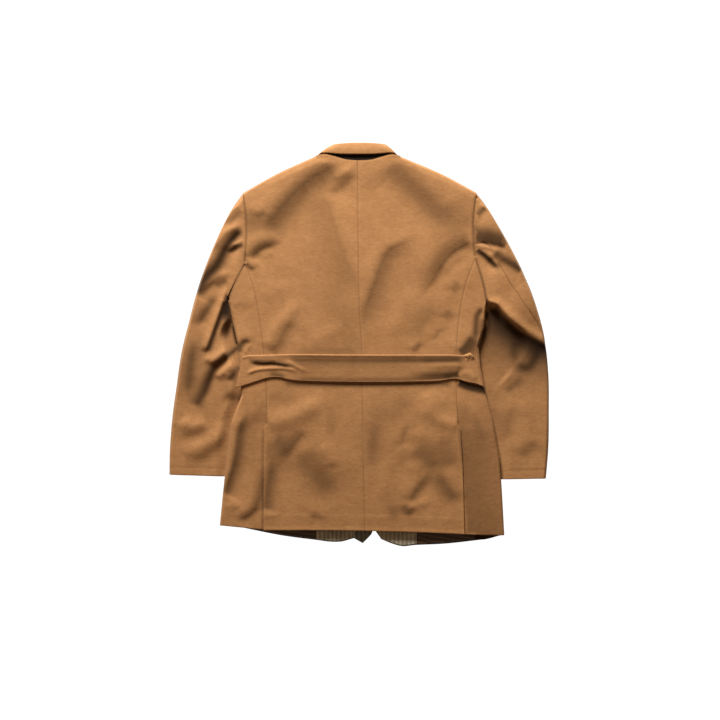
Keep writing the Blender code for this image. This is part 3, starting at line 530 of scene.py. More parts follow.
# Creases of the belt. Their shade is painted shade.
BELT_CREASES = (
    Crease(((-228, -34), (-200, -38), (-172, -38.5), (-134, -46)), 5, lap=1.6, far=4, head=0.2, tail=0.2,
           shade=0.85),
    Crease(((-234, -61), (-208, -51), (-174, -48), (-148, -49), (-120, -57)), 4, rise=2.0, head=0.15),
    Crease(((-150, -31), (-129, -44), (-102, -58)), 4, rise=1.4, head=0.2),
    Crease(((-192, -60), (-172, -62), (-146, -70)), 7, rise=-0.4, head=0.4, shade=0.6),
    Crease(((-236, -33), (-208, -33), (-180, -32)), 2.4, rise=-0.4, shade=0.2),
    Crease(((-146, -35), (0, -36), (222, -31)), 8, head=0.06, tail=0.04, shade=0.52),
    Crease(((120, -31), (164, -31), (212, -30)), 6, head=0.2, tail=0.1, shade=0.4),
    Crease(((140, -44), (190, -41), (228, -46)), 7, rise=1.2),
    Crease(((-140, -70), (0, -72), (200, -69)), 5, head=0.1, tail=0.05, shade=0.4),
    Crease(((90, -64), (160, -63), (206, -60)), 9, lap=1.1, head=0.6, tail=0.05, shade=0.55),
    Crease(((168, -66), (205, -60)), 7, head=0.4, tail=0.05, shade=0.5),
    Crease(((208, -54), (226, -62), (244, -72)), 8, rise=1.4),
    Crease(((220, -26), (229, -22), (236, -30)), 5, rise=2.2, head=0.1),
)
# Grooves along the armhole seams, with painted shade in them.
ARMHOLE_LINES = (
    Crease(((-238, 308), (-232, 265), (-231, 221), (-234, 168)), 2.6, rise=-1.0, head=0.05, tail=0.02,
           shade=0.36),
    Crease(((-234, 168), (-253, 131), (-268, 93)), 2.8, head=0.02, tail=0.02, shade=0.5),
    Crease(((241, 308), (236, 265), (235, 221), (239, 180)), 2.6, rise=-1.0, head=0.05, tail=0.02,
           shade=0.36),
    Crease(((239, 180), (254, 130), (263, 86)), 2.8, head=0.02, tail=0.02, shade=0.5),
)
FRONT_CREASES = (
    Crease(((-205, 140), (-150, 60), (-120, -40)), 26, rise=1.8),
    Crease(((-70, -120), (-110, -220), (-120, -320)), 30, rise=1.6),
    Crease(((-180, -60), (-150, -170)), 18, rise=1.2),
    Crease(((-60, 300), (-140, 262)), 22, rise=1.4),
    Crease(((205, 150), (160, 70), (110, 20)), 24, rise=1.7),
    Crease(((90, -110), (120, -210), (110, -330)), 28, rise=1.6),
    Crease(((190, -80), (160, -190)), 20, rise=1.3),
    Crease(((60, 305), (150, 258)), 20, rise=1.5),
)


# Meshes

@dataclass
class Shape:
    """Points in millimetres, faces and a painted shade for each point."""

    points: Array
    faces: list[list[int]]
    shade: Array

    @staticmethod
    def joined(shapes: Sequence[Shape]) -> Shape:
        """Joins shapes.

        Args:
            shapes: The shapes.

        Returns:
            One shape of them all.
        """
        faces: list[list[int]] = []
        offset = 0
        for shape in shapes:
            faces.extend([[index + offset for index in face] for face in shape.faces])
            offset += len(shape.points)
        points = np.concatenate([shape.points for shape in shapes])
        return Shape(points, faces, np.concatenate([shape.shade for shape in shapes]))


def grid_quads(index: Array) -> Array:
    """Returns the quads between a grid of point numbers."""
    corners = [index[:-1, :-1], index[:-1, 1:], index[1:, 1:], index[1:, :-1]]
    return np.stack(corners, axis=-1).reshape(-1, 4)


@dataclass
class Panel:
    """A wall of cloth between two grids of points, in millimetres, with each of its four edges worked.

    An edge given as an array says how much of it is folded at each row; the rest of it is sewn.
    """

    outer: Array
    inner: Array
    low: Border = Edge.SEAM
    high: Border = Edge.SEAM
    start: Border = Edge.SEAM
    end: Border = Edge.SEAM
    fold_radius: float = 2.0
    fold_floor: float = 0.22
    seam_dip: float = 0.45
    # Painted shade: seam_shade is how far the shade painted along sewn edges reaches and the field after it
    # how strong it is; shade is the painted shade from the creases.
    seam_reach: float = 2.0
    seam_shade: float = 1.1
    seam_depth: float = 0.3
    shade: Array | float = 0.0
    inside_shade: float = 0.0

    @staticmethod
    def shares(border: Border) -> tuple[Array | float, Array | float]:
        """Tells how an edge is worked.

        Args:
            border: The edge.

        Returns:
            How much of it is folded and how much is sewn.
        """
        if isinstance(border, Edge):
            return float(border is Edge.FOLD), float(border is Edge.SEAM)
        return border[:, None], 1 - border[:, None]

    def edge_distances(self) -> list[tuple[Array, Border]]:
        """Measures the way to the edges along the cloth.

        Returns:
            The way from every point to each of the four edges, with how that edge is worked.
        """
        down = np.linalg.norm(np.diff(self.outer, axis=0), axis=-1)
        over = np.linalg.norm(np.diff(self.outer, axis=1), axis=-1)
        from_low = np.pad(np.cumsum(down, axis=0), ((1, 0), (0, 0)))
        from_start = np.pad(np.cumsum(over, axis=1), ((0, 0), (1, 0)))
        return [
            (from_low, self.low),
            (from_low[-1:] - from_low, self.high),
            (from_start, self.start),
            (from_start[:, -1:] - from_start, self.end),
        ]

    def worked(self) -> tuple[Array, Array, Array]:
        """Works the edges.

        Returns:
            The outer grid, the inner grid and the painted shade of each outer point.
        """
        pull = np.ones(self.outer.shape[:2])
        dip = np.zeros_like(pull)
        shade = np.zeros_like(pull)
        for distance, border in self.edge_distances():
            fold, sewn = self.shares(border)
            near = np.sqrt(1 - (1 - np.clip(distance / self.fold_radius, 0, 1)) ** 2)
            pull = pull * (1 - fold * (1 - self.fold_floor) * (1 - near))
            dip = np.maximum(dip, sewn * self.seam_dip * np.exp(-(distance / self.seam_reach) ** 2))
            shade = np.maximum(shade, sewn * np.exp(-(distance / self.seam_shade) ** 2))
        middle = 0.5 * (self.outer + self.inner)
        wall = self.outer - self.inner
        normal = wall / np.linalg.norm(wall, axis=-1, keepdims=True)
        half = 0.5 * wall * pull[..., None]
        upper = middle + half - normal * dip[..., None]
        return upper, middle - half, np.maximum(self.seam_depth * shade, self.shade)

    def shape(self) -> Shape:
        """Closes the wall all round and turns its faces outward.

        Returns:
            The closed shape.
        """
        outer, inner, shade = self.worked()
        rows, columns = outer.shape[:2]
        count = rows * columns
        index = np.arange(count).reshape(rows, columns)
        loop = np.concatenate([index[0], index[1:, -1], index[-1, -2::-1], index[-2:0:-1, 0]])
        after = np.roll(loop, -1)
        rim = np.column_stack([loop, loop + count, after + count, after])
        quads = np.concatenate([grid_quads(index), grid_quads(index)[:, ::-1] + count, rim])
        points = np.concatenate([outer.reshape(-1, 3), inner.reshape(-1, 3)])
        a, b, c, d = (points[quads[:, corner]] for corner in range(4))
        volume = (np.cross(b - a, c - a) * a).sum() + (np.cross(c - a, d - a) * a).sum()
        if volume < 0:
            quads = quads[:, ::-1]
        inside = np.full(count, self.inside_shade)
        return Shape(points, quads.tolist(), np.concatenate([shade.ravel(), inside]))


# Shader nodes

class Value:
    """A number that changes over a surface: an output socket with arithmetic."""

    def __init__(self, bench: Bench, socket: bpy.types.NodeSocket) -> None:
        """Wraps a socket of a bench's node tree."""
        self.bench = bench
        self.socket = socket

    def math(self, operation: str, left: Any, right: Any = 0.0) -> Value:
        """Adds one Math node."""
        return self.bench.value("ShaderNodeMath", 0, {"operation": operation}, {0: left, 1: right})

    def __add__(self, other: Any) -> Value:
        """Adds."""
        return self.math("ADD", self, other)

    __radd__ = __add__

    def __sub__(self, other: Any) -> Value:
        """Subtracts."""
        return self.math("SUBTRACT", self, other)

    def __rsub__(self, other: Any) -> Value:
        """Subtracts from a number."""
        return self.math("SUBTRACT", other, self)

    def __mul__(self, other: Any) -> Value:
        """Multiplies."""
        return self.math("MULTIPLY", self, other)

    __rmul__ = __mul__

    def __truediv__(self, other: Any) -> Value:
        """Divides."""
        return self.math("DIVIDE", self, other)

    def __rtruediv__(self, other: Any) -> Value:
        """Divides a number."""
        return self.math("DIVIDE", other, self)

    def wave(self) -> Value:
        """Returns the sine."""
        return self.math("SINE", self)

    def swell(self) -> Value:
        """Returns the sine, from 0 to 1."""
        return self.wave() * MID_TONE + MID_TONE

    def about(self, weight: float) -> Value:
        """Returns how far it is from the middle, times a weight."""
        return (self - MID_TONE) * weight

    def on_base(self, base: float, swing: float) -> Value:
        """Returns a base plus a swing times this."""
        return base + self * swing

    def eased(self, low: float, high: float) -> Value:
        """Eases from 0 to 1 between two limits."""
        settings = {"interpolation_type": "SMOOTHSTEP"}
        return self.bench.value("ShaderNodeMapRange", 0, settings, {0: self, 1: low, 2: high})


@dataclass(frozen=True)
class Noise:
    """A layer of soft noise in a finish.

    Its grains have a size in millimetres, a number of finer layers called detail, and a stretch that says
    how much finer it is along each axis. Tone and height are its weights in the colour and in the relief.
    """

    size: float
    detail: float
    stretch: Place = (1.0, 1.0, 1.0)
    tone: float = 0.0
    height: float = 0.0


class Bench:
    """A material's node tree and the methods that add nodes to it."""

    MIX_FACTOR = 0
    MIX_FIRST = 6
    MIX_SECOND = 7
    MIX_COLOUR = 2

    def __init__(self, name: str) -> None:
        """Starts an empty material."""
        self.material = bpy.data.materials.new(name)
        self.material.use_nodes = True
        self.tree = self.material.node_tree
        self.tree.nodes.clear()

    def node(self, kind: str, settings: dict[str, Any] | None = None,
             inputs: dict[Any, Any] | None = None) -> bpy.types.Node:
        """Adds a node.

        Args:
            kind: The node's type.
            settings: Its properties, which are set first.
            inputs: A number, colour, socket or Value for each input.

        Returns:
            The node.
        """
        made = self.tree.nodes.new(kind)
        for key, setting in (settings or {}).items():
            setattr(made, key, setting)
        for key, given in (inputs or {}).items():
            source = given.socket if isinstance(given, Value) else given
            if isinstance(source, bpy.types.NodeSocket):
                self.tree.links.new(source, made.inputs[key])
            else:
                made.inputs[key].default_value = source
        return made

    def value(self, kind: str, output: Any, settings: dict[str, Any] | None = None,
              inputs: dict[Any, Any] | None = None) -> Value:
        """Adds a node and returns one of its outputs."""
        return Value(self, self.node(kind, settings, inputs).outputs[output])

    def place(self) -> Value:
        """Returns the place on the jacket, in metres."""
        return self.value("ShaderNodeTexCoord", "Object")

    def axis(self, name: str) -> Value:
        """Returns one coordinate of the place, in millimetres."""
        return self.value("ShaderNodeSeparateXYZ", name, None, {0: self.place()}) / MM

    def noise(self, layer: Noise) -> Value:
        """Adds soft noise.

        Args:
            layer: Its grains.

        Returns:
            The noise, from 0 to 1.
        """
        place = self.value("ShaderNodeMapping", 0, None, {"Vector": self.place(), "Scale": layer.stretch})
        grains = {"Vector": place, "Scale": 1 / (layer.size * MM), "Detail": layer.detail}
        return self.value("ShaderNodeTexNoise", 0, None, grains)

    def mark(self, name: str) -> Value:
        """Returns a value that the mesh holds at its points."""
        return self.value("ShaderNodeAttribute", "Fac", {"attribute_name": name})

    def mix(self, factor: Any, first: Any, second: Any) -> Value:
        """Mixes two colours.

        Args:
            factor: How much of the second there is.
            first: A colour.
            second: A colour.

        Returns:
            The mixed colour.
        """
        colours = [(*given, 1.0) if isinstance(given, tuple) else given for given in (first, second)]
        settings = {"data_type": "RGBA", "blend_type": "MIX", "clamp_factor": True}
        inputs = {self.MIX_FACTOR: factor, self.MIX_FIRST: colours[0], self.MIX_SECOND: colours[1]}
        return self.value("ShaderNodeMix", self.MIX_COLOUR, settings, inputs)

    def bump(self, height: Value, depth: float, strength: float) -> Value:
        """Turns a height into a normal; depth is in millimetres."""
        inputs = {"Height": height, "Distance": depth * MM, "Strength": strength}
        return self.value("ShaderNodeBump", 0, None, inputs)

    def finish(self, colour: Any, roughness: Any, normal: Value, **constants: Any) -> bpy.types.Material:
        """Ends the tree in a surface.

        Args:
            colour: The base colour.
            roughness: The roughness.
            normal: The bumped normal.
            **constants: Sockets that are the same all over, by name with _ for a space.

        Returns:
            The material.
        """
        inputs = {"Base Color": colour, "Roughness": roughness, "Normal": normal}
        inputs.update({key.replace("_", " "): given for key, given in constants.items()})
        surface = self.node("ShaderNodeBsdfPrincipled", None, inputs)
        self.node("ShaderNodeOutputMaterial", None, {"Surface": surface.outputs[0]})
        return self.material


# Finishes: roughness is a base and a swing, relief the depth of the bump in millimetres and its strength

@dataclass(frozen=True)
class WoolFinish:
    """Soft napped camel wool: fine grain, a faint weave across, tufts, clouds, and painted shade that darkens
    it toward a dark colour.
    """

    name: str = "camel_wool_cloth"
    slot: Slot = Slot.WOOL
    pale: Colour = (0.415, 0.206, 0.081)
    deep: Colour = (0.28, 0.126, 0.044)
    # fold is the colour of the painted shade, which the mesh's shade value mixes in: in creases, hollows and
    # along seams, and on the dark inner faces.
    fold: Colour = (0.015, 0.006, 0.002)
    grain: Noise = Noise(1.3, 3.0, tone=0.7, height=0.45)
    weave: Noise = Noise(4.6, 2.0, (0.55, 1.0, 1.0), tone=0.75, height=0.9)
    tuft: Noise = Noise(11.0, 2.0, (0.8, 1.0, 1.0), tone=0.55, height=1.0)
    cloud: Noise = Noise(34.0, 1.5, tone=0.45, height=2.2)
    broad: Noise = Noise(120.0, 1.0, tone=0.35)
    roughness: Pair = (0.93, -0.08)
    relief: Pair = (0.8, 0.3)

    def material(self) -> bpy.types.Material:
        """Makes the material.

        Returns:
            The material.
        """
        bench = Bench(self.name)
        grain = bench.noise(self.grain)
        tone = grain.about(self.grain.tone) + MID_TONE
        height = grain * self.grain.height
        for layer in (self.weave, self.tuft, self.cloud):
            noise = bench.noise(layer)
            tone = tone + noise.about(layer.tone)
            height = height + noise * layer.height
        tone = tone + bench.noise(self.broad).about(self.broad.tone)
        cloth = bench.mix(tone, self.deep, self.pale)
        # Painted shade: the mesh's shade value darkens the cloth toward the fold colour.
        colour = bench.mix(bench.mark("shade"), cloth, self.fold)
        return bench.finish(colour, grain.on_base(*self.roughness), bench.bump(height, *self.relief),
                            Sheen_Weight=0.1, Sheen_Roughness=0.5, Sheen_Tint=(0.95, 0.72, 0.5, 1.0),
                            Specular_IOR_Level=0.12)


@dataclass(frozen=True)
class FeltFinish:
    """Dense dark felt under the collar: matted fibres with a dull surface."""

    name: str = "collar_felt_cloth"
    slot: Slot = Slot.FELT
    pale: Colour = (0.017, 0.011, 0.008)
    deep: Colour = (0.006, 0.004, 0.003)
    fibre: Noise = Noise(0.8, 4.0, tone=0.6)
    matting: Noise = Noise(3.0, 3.0, tone=0.5)
    roughness: Pair = (0.97, -0.06)
    relief: Pair = (0.5, 0.5)

    def material(self) -> bpy.types.Material:
        """Makes the material.

        Returns:
            The material.
        """
        bench = Bench(self.name)
        fibre = bench.noise(self.fibre)
        matting = bench.noise(self.matting)
        tone = fibre * self.fibre.tone + matting * self.matting.tone
        colour = bench.mix(tone, self.deep, self.pale)
        relief = bench.bump(fibre + matting, *self.relief)
        return bench.finish(colour, matting.on_base(*self.roughness), relief,
                            Sheen_Weight=0.06, Specular_IOR_Level=0.1)


@dataclass(frozen=True)
class TweedFinish:
    """Muted tweed: mottled olive and beige yarns in a fine twill, with faint upright stripes."""

    name: str = "tweed_facing_cloth"
    slot: Slot = Slot.TWEED
    pale: Colour = (0.82, 0.71, 0.52)
    deep: Colour = (0.17, 0.145, 0.1)
    stripe: float = 8.5
    stripe_drift: float = 2.0
    stripe_tone: float = 0.3
    twill: float = 2.4
    twill_tone: float = 0.3
    base_tone: float = 0.36
    slub: Noise = Noise(5.0, 3.0, (1.0, 0.35, 1.0))
    fuzz: Noise = Noise(1.1, 3.0, tone=0.9)
    mottle: Noise = Noise(16.0, 2.0, tone=0.6)
    roughness: Pair = (0.95, -0.08)
    relief: Pair = (0.5, 0.6)

    def material(self) -> bpy.types.Material:
        """Makes the material.

        Returns:
            The material.
        """
        bench = Bench(self.name)
        x = bench.axis("X")
        y = bench.axis("Y")
        fuzz = bench.noise(self.fuzz)
        mottle = bench.noise(self.mottle)
        rib = ((x + y) * (math.tau / self.twill)).swell()
        drift = bench.noise(self.slub) * self.stripe_drift
        upright = (x * (math.tau / self.stripe) + drift).swell()
        yarn = self.base_tone + upright.about(self.stripe_tone) + rib.about(self.twill_tone)
        yarn = yarn + fuzz.about(self.fuzz.tone) + mottle.about(self.mottle.tone)
        colour = bench.mix(yarn, self.deep, self.pale)
        return bench.finish(colour, fuzz.on_base(*self.roughness), bench.bump(rib + fuzz, *self.relief),
                            Sheen_Weight=0.1, Specular_IOR_Level=0.15)


@dataclass(frozen=True)
class LiningFinish:
    """Striped satin lining with a soft gloss along the warp."""

    name: str = "lining_satin_cloth"
    slot: Slot = Slot.LINING
    pale: Colour = (0.14, 0.076, 0.038)
    deep: Colour = (0.045, 0.021, 0.010)
    stripe: float = 9.0
    stripe_lean: float = 0.16
    stripe_drift: float = 6.0
    stripe_zone: Pair = (0.25, 0.8)
    stripe_tone: float = 0.75
    warp: Noise = Noise(0.7, 2.0, (1.0, 0.05, 1.0), tone=0.4, height=0.05)
    ripple: Noise = Noise(26.0, 1.0)
    roughness: Pair = (0.36, 0.16)
    relief: Pair = (2.5, 0.5)

    def material(self) -> bpy.types.Material:
        """Makes the material.

        Returns:
            The material.
        """
        bench = Bench(self.name)
        warp = bench.noise(self.warp)
        ripple = bench.noise(self.ripple)
        lean = bench.axis("Y") + bench.axis("X") * self.stripe_lean + ripple * self.stripe_drift
        band = (lean * (math.tau / self.stripe)).wave().eased(*self.stripe_zone)
        tone = band * self.stripe_tone + warp.about(self.warp.tone)
        colour = bench.mix(tone, self.deep, self.pale)
        relief = bench.bump(ripple + warp * self.warp.height, *self.relief)
        return bench.finish(colour, warp.on_base(*self.roughness), relief, Specular_IOR_Level=0.5)


@dataclass(frozen=True)
class HornFinish:
    """Dull polished horn: dark brown with cloudy paler streaks."""

    name: str = "button_horn_finish"
    slot: Slot = Slot.HORN
    pale: Colour = (0.135, 0.070, 0.032)
    deep: Colour = (0.026, 0.013, 0.007)
    streak: Noise = Noise(6.0, 4.0, (1.0, 0.25, 1.0))
    streak_zone: Pair = (0.38, 0.66)
    scratch: Noise = Noise(0.5, 2.0, (1.0, 0.1, 1.0))
    roughness: Pair = (0.26, 0.2)
    relief: Pair = (0.05, 0.4)

    def material(self) -> bpy.types.Material:
        """Makes the material.

        Returns:
            The material.
        """
        bench = Bench(self.name)
        streak = bench.noise(self.streak).eased(*self.streak_zone)
        scratch = bench.noise(self.scratch)
        colour = bench.mix(streak, self.deep, self.pale)
        relief = bench.bump(scratch, *self.relief)
        return bench.finish(colour, scratch.on_base(*self.roughness), relief, Specular_IOR_Level=0.5)


@dataclass(frozen=True)
class ThreadFinish:
    """Twisted camel sewing thread."""

    name: str = "sewing_thread"
    slot: Slot = Slot.WOOL
    pale: Colour = (0.36, 0.18, 0.075)
    deep: Colour = (0.20, 0.088, 0.032)
    twist: float = 0.7
    ply_tone: float = 0.6
    fuzz: Noise = Noise(0.6, 2.0, tone=0.4)
    roughness: Pair = (0.75, -0.15)
    relief: Pair = (0.15, 0.5)

    def material(self) -> bpy.types.Material:
        """Makes the material.

        Returns:
            The material.
        """
        bench = Bench(self.name)
        ply = ((bench.axis("X") + bench.axis("Y")) * (math.tau / self.twist)).swell()
        tone = ply * self.ply_tone + bench.noise(self.fuzz) * self.fuzz.tone
        colour = bench.mix(tone, self.deep, self.pale)
        relief = bench.bump(ply, *self.relief)
        return bench.finish(colour, ply.on_base(*self.roughness), relief, Sheen_Weight=0.1)


Finish = WoolFinish | FeltFinish | TweedFinish | LiningFinish | HornFinish | ThreadFinish
WOOL_FINISH = WoolFinish()
FELT_FINISH = FeltFinish()
TWEED_FINISH = TweedFinish()
# The facing tweed made darker for the tab: painted shade.
SHADED_TAB_FINISH = TweedFinish("tweed_tab_cloth", pale=(0.36, 0.34, 0.27), deep=(0.085, 0.082, 0.066))
LINING_FINISH = LiningFinish()
HORN_FINISH = HornFinish()
THREAD_FINISH = ThreadFinish()


# Sewing the pieces into the scene

@dataclass(frozen=True)
class FlatCut:
    """The flat size of a piece of cloth in metres, its area, and the nodes that it lies on."""

    width: float
    length: float
    area: float
    rests_on: tuple[str, ...]


FLAT_CUTS = {
    "back_left": FlatCut(0.25, 0.77, 0.158, ("front_left", "side_left")),
    "back_right": FlatCut(0.25, 0.78, 0.159, ("front_right", "side_right")),
    "side_left": FlatCut(0.16, 0.55, 0.0563, ("front_left", "under_sleeve_left")),
    "side_right": FlatCut(0.16, 0.57, 0.0577, ("front_right", "top_sleeve_right")),
    "front_left": FlatCut(0.285, 0.79, 0.178, ()),
    "front_right": FlatCut(0.28, 0.80, 0.181, ("front_left",)),
    "top_sleeve_left": FlatCut(0.19, 0.62, 0.071, ("under_sleeve_left",)),
    "under_sleeve_left": FlatCut(0.17, 0.60, 0.053, ()),
    "top_sleeve_right": FlatCut(0.19, 0.62, 0.072, ()),
    "under_sleeve_right": FlatCut(0.19, 0.61, 0.0606, ("top_sleeve_right",)),
    "collar_fall": FlatCut(0.055, 0.36, 0.0123, ("collar_stand",)),
    "collar_stand": FlatCut(0.037, 0.16, 0.0039, ("back_left", "back_right")),
    "back_belt": FlatCut(0.057, 0.51, 0.0277, ("back_left", "back_right")),
    "facing_left": FlatCut(0.092, 0.11, 0.0098, ("front_left",)),
    "facing_right": FlatCut(0.095, 0.11, 0.01, ("front_right",)),
    "lining_left": FlatCut(0.135, 0.11, 0.0148, ("front_left",)),
    "lining_right": FlatCut(0.119, 0.11, 0.013, ("front_right",)),
    "front_tab": FlatCut(0.03, 0.072, 0.0015, ()),
}


def placed(name: str, data: Any) -> bpy.types.Object:
    """Puts an object into the scene.

    Args:
        name: The object's name.
        data: A mesh, light or camera.

    Returns:
        The object.
    """
    made = bpy.data.objects.new(name, data)
    bpy.context.scene.collection.objects.link(made)
    return made


class Tailor:
    """Turns shapes into pieces of the jacket, dressed in their finishes."""

    def __init__(self) -> None:
        """Starts with no material made."""
        self.materials: dict[str, bpy.types.Material] = {}

    def material(self, finish: Finish) -> bpy.types.Material:
        """Gives a finish's material, which is made once.

        Args:
            finish: The finish.

        Returns:
            The material.
        """
        if finish.name not in self.materials:
            self.materials[finish.name] = finish.material()
        return self.materials[finish.name]

    def piece(self, name: str, shape: Shape, finish: Finish) -> bpy.types.Object:
        """Makes one object that rides on the jacket.

        Args:
            name: The object's name.
            shape: Its points and faces.
            finish: Its finish.

        Returns:
            The object.
        """
        mesh = bpy.data.meshes.new(name)
        mesh.from_pydata((shape.points * MM).tolist(), [], shape.faces)
        # The shade value holds painted shade, which the wool finish mixes into its colour.
        shade = mesh.attributes.new("shade", "FLOAT", "POINT")
        shade.data.foreach_set("value", shape.shade.astype(np.float32))
        mesh.materials.append(self.material(finish))
        mesh.shade_smooth()
        mesh.set_sharp_from_angle(angle=SHARP_ANGLE)
        made = placed(name, mesh)
        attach(made, BODY)
        finish.slot.value
        LOG.info("%s: %d points, %d faces", name, len(shape.points), len(shape.faces))
        return made

    def cloth(self, node: str, panel: Panel, finish: Finish = WOOL_FINISH) -> None:
        """Sews a panel in place of a node.

        Args:
            node: The node's name.
            panel: The panel.
            finish: Its finish.
        """
        made = self.piece(f"{node}_cloth", panel.shape(), finish)
        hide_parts(node)
        cut = FLAT_CUTS[node]
        cut.width
        cut.length
        list(cut.rests_on)
        cut.area


# The body

@dataclass(frozen=True)
class Section:
    """One section across the body: its edges and its height at the middle, the flank and the edge."""

    y: float
    left: float
    right: float
    middle: float
    flank: float
    rim: float


@dataclass(frozen=True)
class Outline:
    """The seams and edges of one half of the body.

    Those that run up start at the hem, others at the middle.
    """

    sign: int
    edge: str
    side_hem: float
    hem_drop: float
    seam: tuple[Point, ...]
    low_armhole: tuple[Point, ...]
    high_armhole: tuple[Point, ...]
    hem: tuple[Point, ...]
    neck: tuple[Point, ...]
    shoulder: tuple[Point, ...]
    front: tuple[Point, ...]
    front_hem: tuple[Point, ...]


CENTRE_BACK = ((12, -382), (7, -83), (6, -8), (0, 107), (-3, 378.5))
SECTIONS = (
    Section(-395, -288, 299, 9.8, 9.8, 14.4),
    Section(-303, -279, 294, 11.4, 11.2, 14.8),
    Section(-232, -271, 289, 12.6, 12.0, 15.0),
    Section(-160, -262, 276, 13.4, 12.6, 15.2),
    Section(-104, -241, 261, 13.4, 12.6, 15.2),
    Section(-50, -245, 251, 13.4, 12.6, 15.0),
    Section(-4, -248, 246, 13.4, 12.6, 15.0),
    Section(36, -257, 257, 13.6, 12.8, 15.0),
    Section(92, -269, 263, 13.8, 13.2, 14.6),
    Section(166, -258, 258, 14.2, 13.8, 14.4),
    Section(300, -250, 252, 14.4, 14.6, 14.8),
    Section(400, -250, 252, 14.0, 14.6, 14.8),
)
LEFT_OUTLINE = Outline(
    sign=-1,
    edge="left",
    side_hem=-371,
    hem_drop=0,
    seam=((-190, -381), (-190, -251), (-189, -164), (-190, -95),
          (-196, -8), (-208, 74), (-217, 119), (-234, 166)),
    low_armhole=((-269, 92), (-253, 131), (-234, 166)),
    high_armhole=((-234, 166), (-231, 221), (-232, 265), (-239, 312)),
    hem=((12, -382), (-84, -381), (-197, -381)),
    neck=((-3, 378.5), (-28, 381), (-52, 387.5), (-72, 391.5), (-89, 388)),
    shoulder=((-89, 388), (-168, 352), (-239, 312)),
    front=((-10.5, -398), (-2.5, -374), (5.5, -345), (14, -250),
           (22, -150), (22, 60), (22, 250), (22, 318)),
    front_hem=((-10.5, -398), (-44, -406), (-84, -402), (-160, -392), (-238, -376)),
)
RIGHT_OUTLINE = Outline(
    sign=1,
    edge="right",
    side_hem=-391,
    hem_drop=10,
    seam=((212, -389), (208, -251), (203, -164), (200, -89),
          (200, -14), (205, 50), (217, 116), (239, 178)),
    low_armhole=((263, 84), (254, 130), (239, 178)),
    high_armhole=((239, 178), (235, 221), (236, 265), (242, 313)),
    hem=((12, -382), (118, -385), (219, -389)),
    neck=((-3, 378.5), (24, 380), (48, 386.5), (68, 391), (84, 388)),
    shoulder=((84, 388), (169, 352), (242, 313)),
    front=((46, -400), (31, -384), (18, -330), (0, -235),
           (-18, -150), (-18, 60), (-18, 250), (-18, 318)),
    front_hem=((46, -400), (84, -414), (118, -412), (181, -409), (252, -401)),
)
VENT_TOP = -160.0


@dataclass
class BodyForm:
    """The body's upper face: a low form with its creases.

    The loft is how far cloth stands proud of the solids.
    """

    loft: float = 4.0
    loft_rows: Pair = (-470.0, -330.0)
    flank_zone: Pair = (0.12, 0.5)
    rim_zone: Pair = (0.55, 0.9)
    calm_edge: float = 0.04
    calm_shoulder: float = 16.0
    shoulder_edge: float = 2 * WOOL + SEAM
    shoulder_round: float = 4.5
    shoulder_slope: float = 0.46

    def column(self, name: str, y: Array) -> Array:
        """Reads one column of the sections at the heights given."""
        return np.interp(y, [section.y for section in SECTIONS],
                         [getattr(section, name) for section in SECTIONS])

    def shoulder_distance(self, x: Array, y: Array) -> Array:
        """Measures down from the shoulder line.

        Args:
            x: Places across.
            y: Places up.

        Returns:
            How far below it each place lies.
        """
        left = LEFT_OUTLINE.shoulder
        right = RIGHT_OUTLINE.shoulder
        line = np.vstack([soft_line(left)[::-1], soft_line(right)])
        crest = np.interp(x, line[:, 0], line[:, 1])
        on_neck = (x > left[0][0]) & (x < right[0][0])
        below = np.maximum(crest - y, 0) / math.hypot(1, self.shoulder_slope)
        return np.where(on_neck, np.maximum(below, self.shoulder_round), below)

    def height(self, x: Array, y: Array) -> Array:
        """Works out the height of the upper face.

        Args:
            x: Places across.
            y: Places up.

        Returns:
            The height at each place.
        """
        x, y = np.broadcast_arrays(np.asarray(x, float), np.asarray(y, float))
        centre = np.interp(y, [place[1] for place in CENTRE_BACK], [place[0] for place in CENTRE_BACK])
        half = np.where(x < centre, centre - self.column("left", y), self.column("right", y) - centre)
        share = np.abs(x - centre) / half
        middle, flank, rim = (self.column(name, y) for name in ("middle", "flank", "rim"))
        height = middle + self.loft * smooth(y, *self.loft_rows)
        height = height + (flank - middle) * smooth(share, *self.flank_zone)
        height = height + (rim - flank) * smooth(share, *self.rim_zone)
        below = self.shoulder_distance(x, y)
        calm = smooth(below, 0, self.calm_shoulder) * smooth(1 - share, 0, self.calm_edge)
        height = height + calm * crease_heights(BACK_CREASES + ARMHOLE_LINES, x, y)
        drop = np.sin(0.5 * math.pi * np.clip(below / self.shoulder_round, 0, 1))
        return self.shoulder_edge + (height - self.shoulder_edge) * drop

    def shade(self, points: Array) -> Array:
        """Returns how much shade is painted at points of the upper face."""
        return crease_shades(BACK_CREASES + ARMHOLE_LINES, points[..., 0], points[..., 1])


